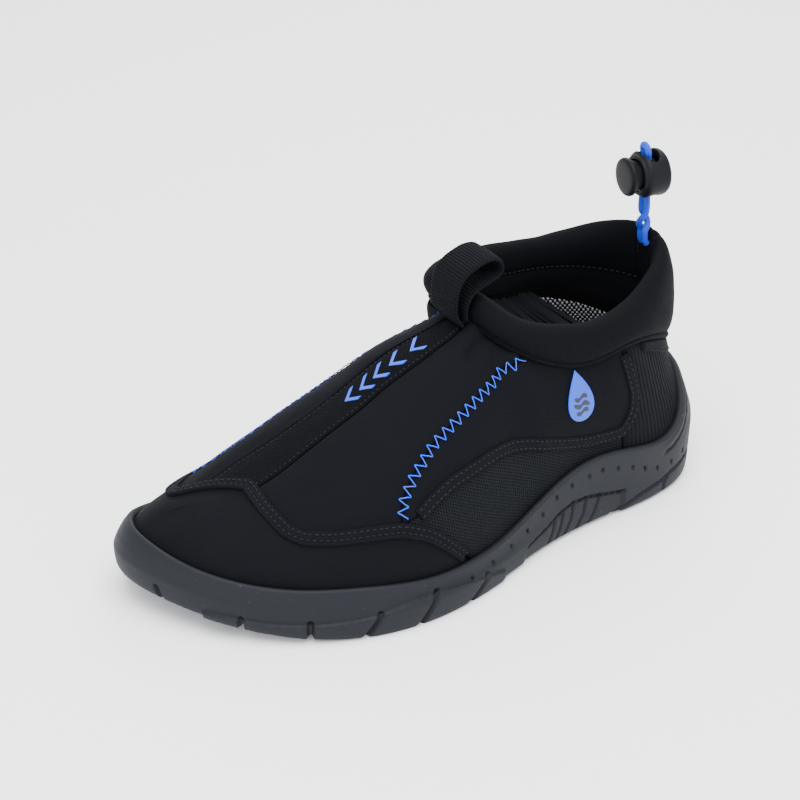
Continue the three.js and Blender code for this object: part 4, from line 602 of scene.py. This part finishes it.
def sole_relief(G, s):
    sl = np.where(s > 13, 26-s, s); A = np.broadcast_to(arc(sl)[:, None], G.shape[:2]); H = G[..., 2]-spring(G[..., 1]); P = np.stack([A, H], -1); R = np.zeros(G.shape[:2])
    seglen = np.linalg.norm(np.diff(G, axis=1), axis=2); up = np.concatenate([np.zeros((len(G), 1)), np.cumsum(seglen, 1)], 1); top = up[:, -1:]-up
    R += .5*sstep(1-np.abs(top-1.7)/2.0)                                  # rounded lip along the top edge
    line_ = lambda poly, w, d: -d*(1-sstep((seg_dist(P, poly)-w*.35)/(w*.65)))
    for (a, h) in [(7.0,10.6),(6.5,11.7),(6.04,13.6),(5.62,15.6),(5.24,18.9),(4.91,23.2),(4.57,25.4),(4.19,26.1),(3.9,26.3),(3.56,24.2),(3.23,21.6),(2.94,18.4),(2.64,15.6),(2.26,14.8),(1.85,16.2),(1.3,17.5)]:
        d = P-[arc(a), h]; d = np.hypot((d[..., 0]-.25*d[..., 1])/1.0, d[..., 1]/1.75); R -= 1.1*(1-sstep((d-.35)/.55))*(d < 1.2)
    # raised forefoot tread blocks
    bt = pl((6.2,5.5),(6.71,8.8),(7.05,10.4),(7.8,12.2),(8.3,11.6),(8.75,9.8),(9.3,8.0),(9.73,6.6),(10.3,5.0),(10.7,4.4),(11.05,3.6),(11.4,2.5),(13.2,2.5)); ht = np.interp(A, bt[:, 0], bt[:, 1]); ins = sstep((A-arc(6.22))/1.2)*sstep((arc(11.3)-A)/2)
    R += 1.15*sstep((ht-H)/.8+.5)*ins
    for pts in (((12.05,5.6),(11.98,0)),((10.69,4.6),(10.69,0)),((9.73,7.2),(9.73,0)),((8.70,10.0),(8.95,0)),((7.74,12.4),(8.08,0)),((6.69,8.9),(7.1,0))): R += line_(pl(*pts), 1.5, 1.9)
    # arch panel set back under the slit, with slanted grooves
    sl_ = pl((5.75,5.5),(5.62,8.2),(5.16,11.2),(4.86,14.4),(4.53,16.5),(4.19,15.9),(3.4,11.4)); hs = np.interp(A, sl_[::-1, 0], sl_[::-1, 1]); ina = sstep((A-arc(3.35))/2.5)*sstep((arc(5.72)-A)/2.0)
    R -= .9*sstep((hs-H)/1.0+.2)*ina; R += line_(sl_[1:], 1.3, 1.3)
    for pts in (((3.93,14.8),(4.0,8.5),(4.15,1.0)),((4.22,15.6),(4.27,9),(4.42,1.5)),((4.50,16.0),(4.55,9),(4.66,2.5)),((4.72,15.0),(4.78,8),(4.86,2.5)),((4.92,13.5),(4.97,7.5),(5.04,2.5))): R += line_(pl(*pts), .95, .95)
    # heel grooves and counter rib
    R += line_(pl((2.35,9.0),(2.52,8.0),(3.02,6.2),(3.35,3.6),(3.62,1.0)), 1.3, 1.1)
    R += line_(pl((1.2,13.0),(1.7,11.6),(2.3,9.4),(2.44,5.5),(2.4,2.0)), 1.3, 1.0)
    fin = sstep((arc(2.55)-A)/6); R -= .9*fin*(1-sstep((np.abs(top-8.5)-.45)/.7)); R += .35*fin*sstep(1-np.abs(top-5.2)/2.6)
    return R
def tread(P):
    # grooves between tread bars, 2 deep
    x, y = P[:, 0], P[:, 1]; g = np.zeros(len(P)); ph = (y+3.2*np.sin(x/9.0))/11.0; fr = np.abs(ph-np.round(ph))*11.0
    g = 1.9*(1-sstep((fr-1.0)/.7)); return g
sole()
# ------------------------------------------------------------------ inside
def inside():
    n = 260; s = np.arange(n)*N/n; o = fo(s); m = no(s); q = o-m*7.4
    ym = np.clip((fo(s)[:, 1]+fo(26-s)[:, 1])/2, -98, 100); xm = np.interp(ym, [-98,-90,-65,-40,-15,10,35,60,100], [-20,-16,-6,.5,5,5.3,4,2.3,2]); sp = np.stack([xm, ym], 1)
    fr = np.linspace(1, 0, 22); V, F = [], []
    prof = lambda f: 12.2+.9*sstep((1-f)*0)+1.6*sstep((f-.72)/.28)
    for k, f in enumerate(fr):
        p = sp+(q-sp)*f; V.append(np.concatenate([p, (prof(f)+spring(p[:, 1])+.25*np.sin(p[:, 1]/13)*(1-f))[:, None]], 1))
    for k in range(len(fr)-1):
        for i in range(n): j = (i+1) % n; F.append((k*n+i, k*n+j, (k+1)*n+j, (k+1)*n+i))
    base = len(fr)*n
    for k, f in enumerate(fr[::3]):
        p = sp+(q-sp)*f; V.append(np.concatenate([p, (7.95+spring(p[:, 1]))[:, None]], 1))
    nb = len(fr[::3])
    for k in range(nb-1):
        for i in range(n): j = (i+1) % n; F.append((base+k*n+j, base+k*n+i, base+(k+1)*n+i, base+(k+1)*n+j))
    for i in range(n): j = (i+1) % n; F.append((j, i, base+i, base+j))
    V = np.concatenate(V); key = np.round(V*400).astype(np.int64); _, first, inv = np.unique(key, axis=0, return_index=True, return_inverse=True); inv = inv.ravel()
    F = [tuple(dict.fromkeys(inv[list(f)])) for f in F]; F = [f for f in F if len(f) > 2]; V = V[first]
    ob = mesh_obj("footbed_pad", V, fix_winding(V, F), M_dots, uv=V[:, :2]*K, slot="footbed_textile"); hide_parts("footbed")
inside()
bpy_nodes["strobel_board"].data.materials.clear(); bpy_nodes["strobel_board"].data.materials.append(M_board)

# ------------------------------------------------------------------ pull loop: cross-ribbed tape, both ends sewn in at the front seam
def pull_loop():
    mid = np.array([[8.0,94.9],[5.2,99.5],[4.7,106],[6.1,112],[9.5,116],[15,118.4],[21,119.5],[25.5,118.5],[27.9,115.3],[27,112.2],[22.5,110.6],[16.8,108.9],[12.2,106.4],[9.9,102],[9.9,96.6]]); X = catmull(np.c_[mid, 0*mid[:, 0]], .28)[:, :2]
    n = len(X); L = np.r_[0, np.cumsum(np.linalg.norm(np.diff(X, axis=0), axis=1))]; t = unit(np.gradient(X, axis=0)); nn = np.stack([-t[:, 1], t[:, 0]], 1)
    xs = np.linspace(-9, 7, 33); edge = np.minimum(xs+9, 7-xs); h = (.8*(.55+.45*sstep(edge/.9)))[None]*(1+.10*np.sin(L/1.28*2*np.pi))[:, None]
    sag = .35*np.sin(L/L[-1]*np.pi)[:, None]*np.cos((xs+1)/8*1.5)[None]; mk = lambda sg: np.stack([np.broadcast_to(xs[None], (n, 33)), X[:, None, 0]+nn[:, None, 0]*(sg*h+sag), X[:, None, 1]+nn[:, None, 1]*(sg*h+sag)+.1*(7-xs)[None]], -1)
    T, B = mk(1), mk(-1); UV = np.stack(np.broadcast_arrays(L[:, None]*K, xs[None]*K), -1)
    ob = slab_obj("pull_loop_tape", T, B, UV, M_web, slot="webbing", sharp=60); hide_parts("pull_loop")
pull_loop()
# ------------------------------------------------------------------ heel overlay, linings
def heel_overlay():
    a, b = np.meshgrid(np.linspace(-2.55, 2.55, 120), np.linspace(0, 1, 16), indexing="ij"); lo = np.interp(a, [-2.55, -1.9, 0, 1.9, 2.55], [.90, .862, .84, .862, .90]); t = lo+(.975-lo)*b
    P = S(a, t); Q = nS(a, t); dL, dR, dB, dT = edge_dist(P); d = np.minimum(np.minimum(dL, dR), np.minimum(dB, dT)); off = .45+.85*sstep(d/1.1)+.2*lump(P)*sstep(d/3)
    ob = slab_obj("heel_overlay_tape", P+Q*off[..., None], P+Q*.2, np.stack([a*14, b*6], -1), M_bind, slot="binding"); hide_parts("heel_overlay")
    q = np.stack([np.linspace(-2.4, 2.4, 160), np.interp(np.linspace(-2.4, 2.4, 160), [-2.55, -1.9, 0, 1.9, 2.55], [.912, .878, .858, .878, .912])], 1); stitches("heel_overlay_stitches", S, nS, q, [0.0], 1.35, M_dark, 2.3, 1.6, .32)
heel_overlay()
def lining(name, s0, s1, t0, t1, o0, o1, mat, na=260, nt=70, slot="neoprene"):
    a, b = np.meshgrid(np.linspace(s0, s1, na), np.linspace(0, 1, nt), indexing="ij"); t = t0+(t1(a)-t0)*b; P = S(a, t); Q = nS(a, t)
    for _ in range(90):
        R = Q.copy(); R[1:-1] = .25*Q[:-2]+.5*Q[1:-1]+.25*Q[2:]; Q = R.copy(); Q[:, 1:-1] = .25*R[:, :-2]+.5*R[:, 1:-1]+.25*R[:, 2:]
    Q = unit(Q); up = np.stack([0*t, 0*t, 1.6*sstep((t-.9)/.1)], -1)
    U = np.concatenate([np.zeros((1, nt)), np.cumsum(np.linalg.norm(np.diff(P, axis=0), axis=2), axis=0)]); V = np.concatenate([np.zeros((na, 1)), np.cumsum(np.linalg.norm(np.diff(P, axis=1), axis=2), axis=1)], 1)
    return slab_obj(name, P+Q*o1+up, P+Q*o0+up, np.stack([U*K, V*K], -1), mat, slot=slot)
lining("wall_lining", -4.95, 5.9, .25, lambda a: np.ones_like(a), -3.4, -3.0, M_line)
lining("heel_lining_mesh", -4.9, 4.2, .28, lambda a: np.interp(a, [-4.9, -4.2, -3.4, 4.2], [.72, .84, .94, .94]), -4.0, -3.6, M_dots, slot="footbed_textile")
# ------------------------------------------------------------------ printed motifs
def patch(name, f, nf, s0, w0, sgn, outline, lift, mat, node=None, thick=.28, body="shoe", slot="badge"):
    # outline: points (right, up) in table units, laid on the surface around (s0, w0)
    o = np.array(outline, float); P0 = f(s0, w0); n0 = nf(s0, w0); u = unit(np.cross([0, 0, 1.0], n0)); v = unit(np.cross(n0, u))
    def land(q):
        X = P0+u*q[0]+v*q[1]; s, w = s0, w0
        for _ in range(14):
            A = f(s, w); ds = (f(s+.01, w)-f(s-.01, w))/.02; dw = (f(s, w+.004)-f(s, w-.004))/.008; r = X-A; M = np.stack([ds, dw, n0], 1); k = np.linalg.solve(M, r); s, w = s+k[0], w+k[1]
        return f(s, w), nf(s, w)
    m = len(o); c = o.mean(0); rings = [1.0, .9, .7, .45, .2]; V = []; W = []
    for r in rings:
        for q in o:
            A, n = land(c+(q-c)*r); V.append(A+n*(lift+thick*(1 if r < .95 else .45))); W.append(A+n*(lift-.35))
    A, n = land(c); V.append(A+n*(lift+thick)); W.append(A+n*(lift-.35)); k = len(V); F = []
    for i in range(len(rings)-1):
        for j in range(m): l = (j+1) % m; F.append((i*m+j, i*m+l, (i+1)*m+l, (i+1)*m+j)); F.append((k+i*m+l, k+i*m+j, k+(i+1)*m+j, k+(i+1)*m+l))
    i = (len(rings)-1)*m
    for j in range(m): l = (j+1) % m; F.append((i+j, i+l, k-1)); F.append((k+i+l, k+i+j, k+k-1)); F.append((l, j, k+j, k+l))
    V = np.array(V+W); ob = mesh_obj(name, V, fix_winding(V, F), mat, slot=slot, sharp=50)
    if node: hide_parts(node)
    return ob
def drop(Wd, H, n=64):
    th = np.linspace(0, 2*np.pi, n, endpoint=False); y = np.cos(th); x = np.sin(th)*np.sin(th/2)**1.15
    return np.stack([x*Wd*1.25, y*H], 1)
for f_, n_, s_, w_, sg_, nm in ((E, nE, 4.12, .76, 1, "lateral"), (E, nE, 4.12, 1.24, -1, "medial")):
    patch("badge_print_"+nm, f_, n_, s_, w_, sg_, drop(7.2, 10.4)-[0, 1.0], 1.05, M_badge, node="badge_"+nm, thick=.3)
    wv = lambda y, a, b: np.concatenate([np.stack([np.linspace(-a, a, 16), y+.9*np.sin(np.linspace(-a, a, 16)*.95)+b], 1), np.stack([np.linspace(a, -a, 16), y+.9*np.sin(np.linspace(a, -a, 16)*.95)-b], 1)])
    for i, (y, a) in enumerate(((-1.8, 3.3), (-4.7, 4.1), (-7.5, 3.2))): patch("badge_wave_%s_%d" % (nm, i), f_, n_, s_, w_, sg_, wv(y, a, .62), 1.32, M_badge_dark, thick=.16)
# plain chevrons along the top of the instep strip
def chevrons():
    q = np.stack([np.linspace(6.85, 8.2, 5), np.interp(np.linspace(6.85, 8.2, 5), [6.05, 6.9, 7.6, 8.5], [1.0, 1.01, 1.03, 1.055])], 1)
    for i, (a, b) in enumerate(q):
        P = E(a, b); n = nE(a, b); t = unit(E(a+.05, b)-E(a-.05, b)); d = unit(np.cross(n, t)); hw, hl, th = 4.4-.2*i, 2.3, 1.0; pts = [(-hw, -hl), (0, hl), (hw, -hl), (hw, -hl-2*th), (0, hl-2*th), (-hw, -hl-2*th)]
        V = []; m = 6
        for lay in (1, 0):
            for (x, y) in pts:
                ss = a+y/arc_rate(a, b); ww = b+x/w_rate(a, b); A = E(ss, ww); V.append(A+nE(ss, ww)*(.78 if lay else .2))
        F = [(0, 1, 4, 5), (1, 2, 3, 4), (m, m+5, m+4, m+1), (m+1, m+4, m+3, m+2)]+[(j, m+j, m+(j+1) % m, (j+1) % m) for j in range(m)]
        V = np.array(V); mesh_obj("strip_chevron_%d" % i, V, fix_winding(V, F), M_badge, slot="badge", sharp=40)
arc_rate = lambda s, w: float(np.linalg.norm(E(s+.05, w)-E(s-.05, w))/.1)
w_rate = lambda s, w: float(np.linalg.norm(E(s, w+.02)-E(s, w-.02))/.04)
chevrons()

# ------------------------------------------------------------------ floor and light
def stage():
    me = bpy.data.meshes.new("floor"); s = 6.0; me.from_pydata([(-s, -s, 0), (s, -s, 0), (s, s, 0), (-s, s, 0)], [], [(0, 1, 2, 3)]); ob = bpy.data.objects.new("floor", me); bpy.context.scene.collection.objects.link(ob)
    m = Mat("floor_white", (.93, .935, .945), .8, .2); me.materials.append(m.m)
    w = bpy.context.scene.world or bpy.data.worlds.new("world"); bpy.context.scene.world = w; w.use_nodes = True; bg = w.node_tree.nodes.get("Background") or w.node_tree.nodes.new("ShaderNodeBackground")
    bg.inputs[0].default_value = (.96, .97, 1, 1); bg.inputs[1].default_value = 1.5
    def area(name, loc, look, size, power, col=(1, 1, 1)):
        l = bpy.data.lights.new(name, "AREA"); l.shape = "RECTANGLE"; l.size, l.size_y = size; l.energy = power; l.color = col
        o = bpy.data.objects.new(name, l); bpy.context.scene.collection.objects.link(o); o.location = loc; d = Vector(look)-Vector(loc); o.rotation_euler = d.to_track_quat("-Z", "Y").to_euler()
    area("key_top", (0.25, -.15, 1.15), (0, 0, .04), (1.1, 1.1), 32)
    area("front_fill", (.55, -.95, .55), (0, -.03, .05), (.9, .7), 7)
    area("side_fill", (1.05, .35, .45), (0, .03, .05), (.8, .7), 4)
    area("back_rim", (-.7, .7, .8), (0, 0, .06), (.9, .6), 9)
stage()
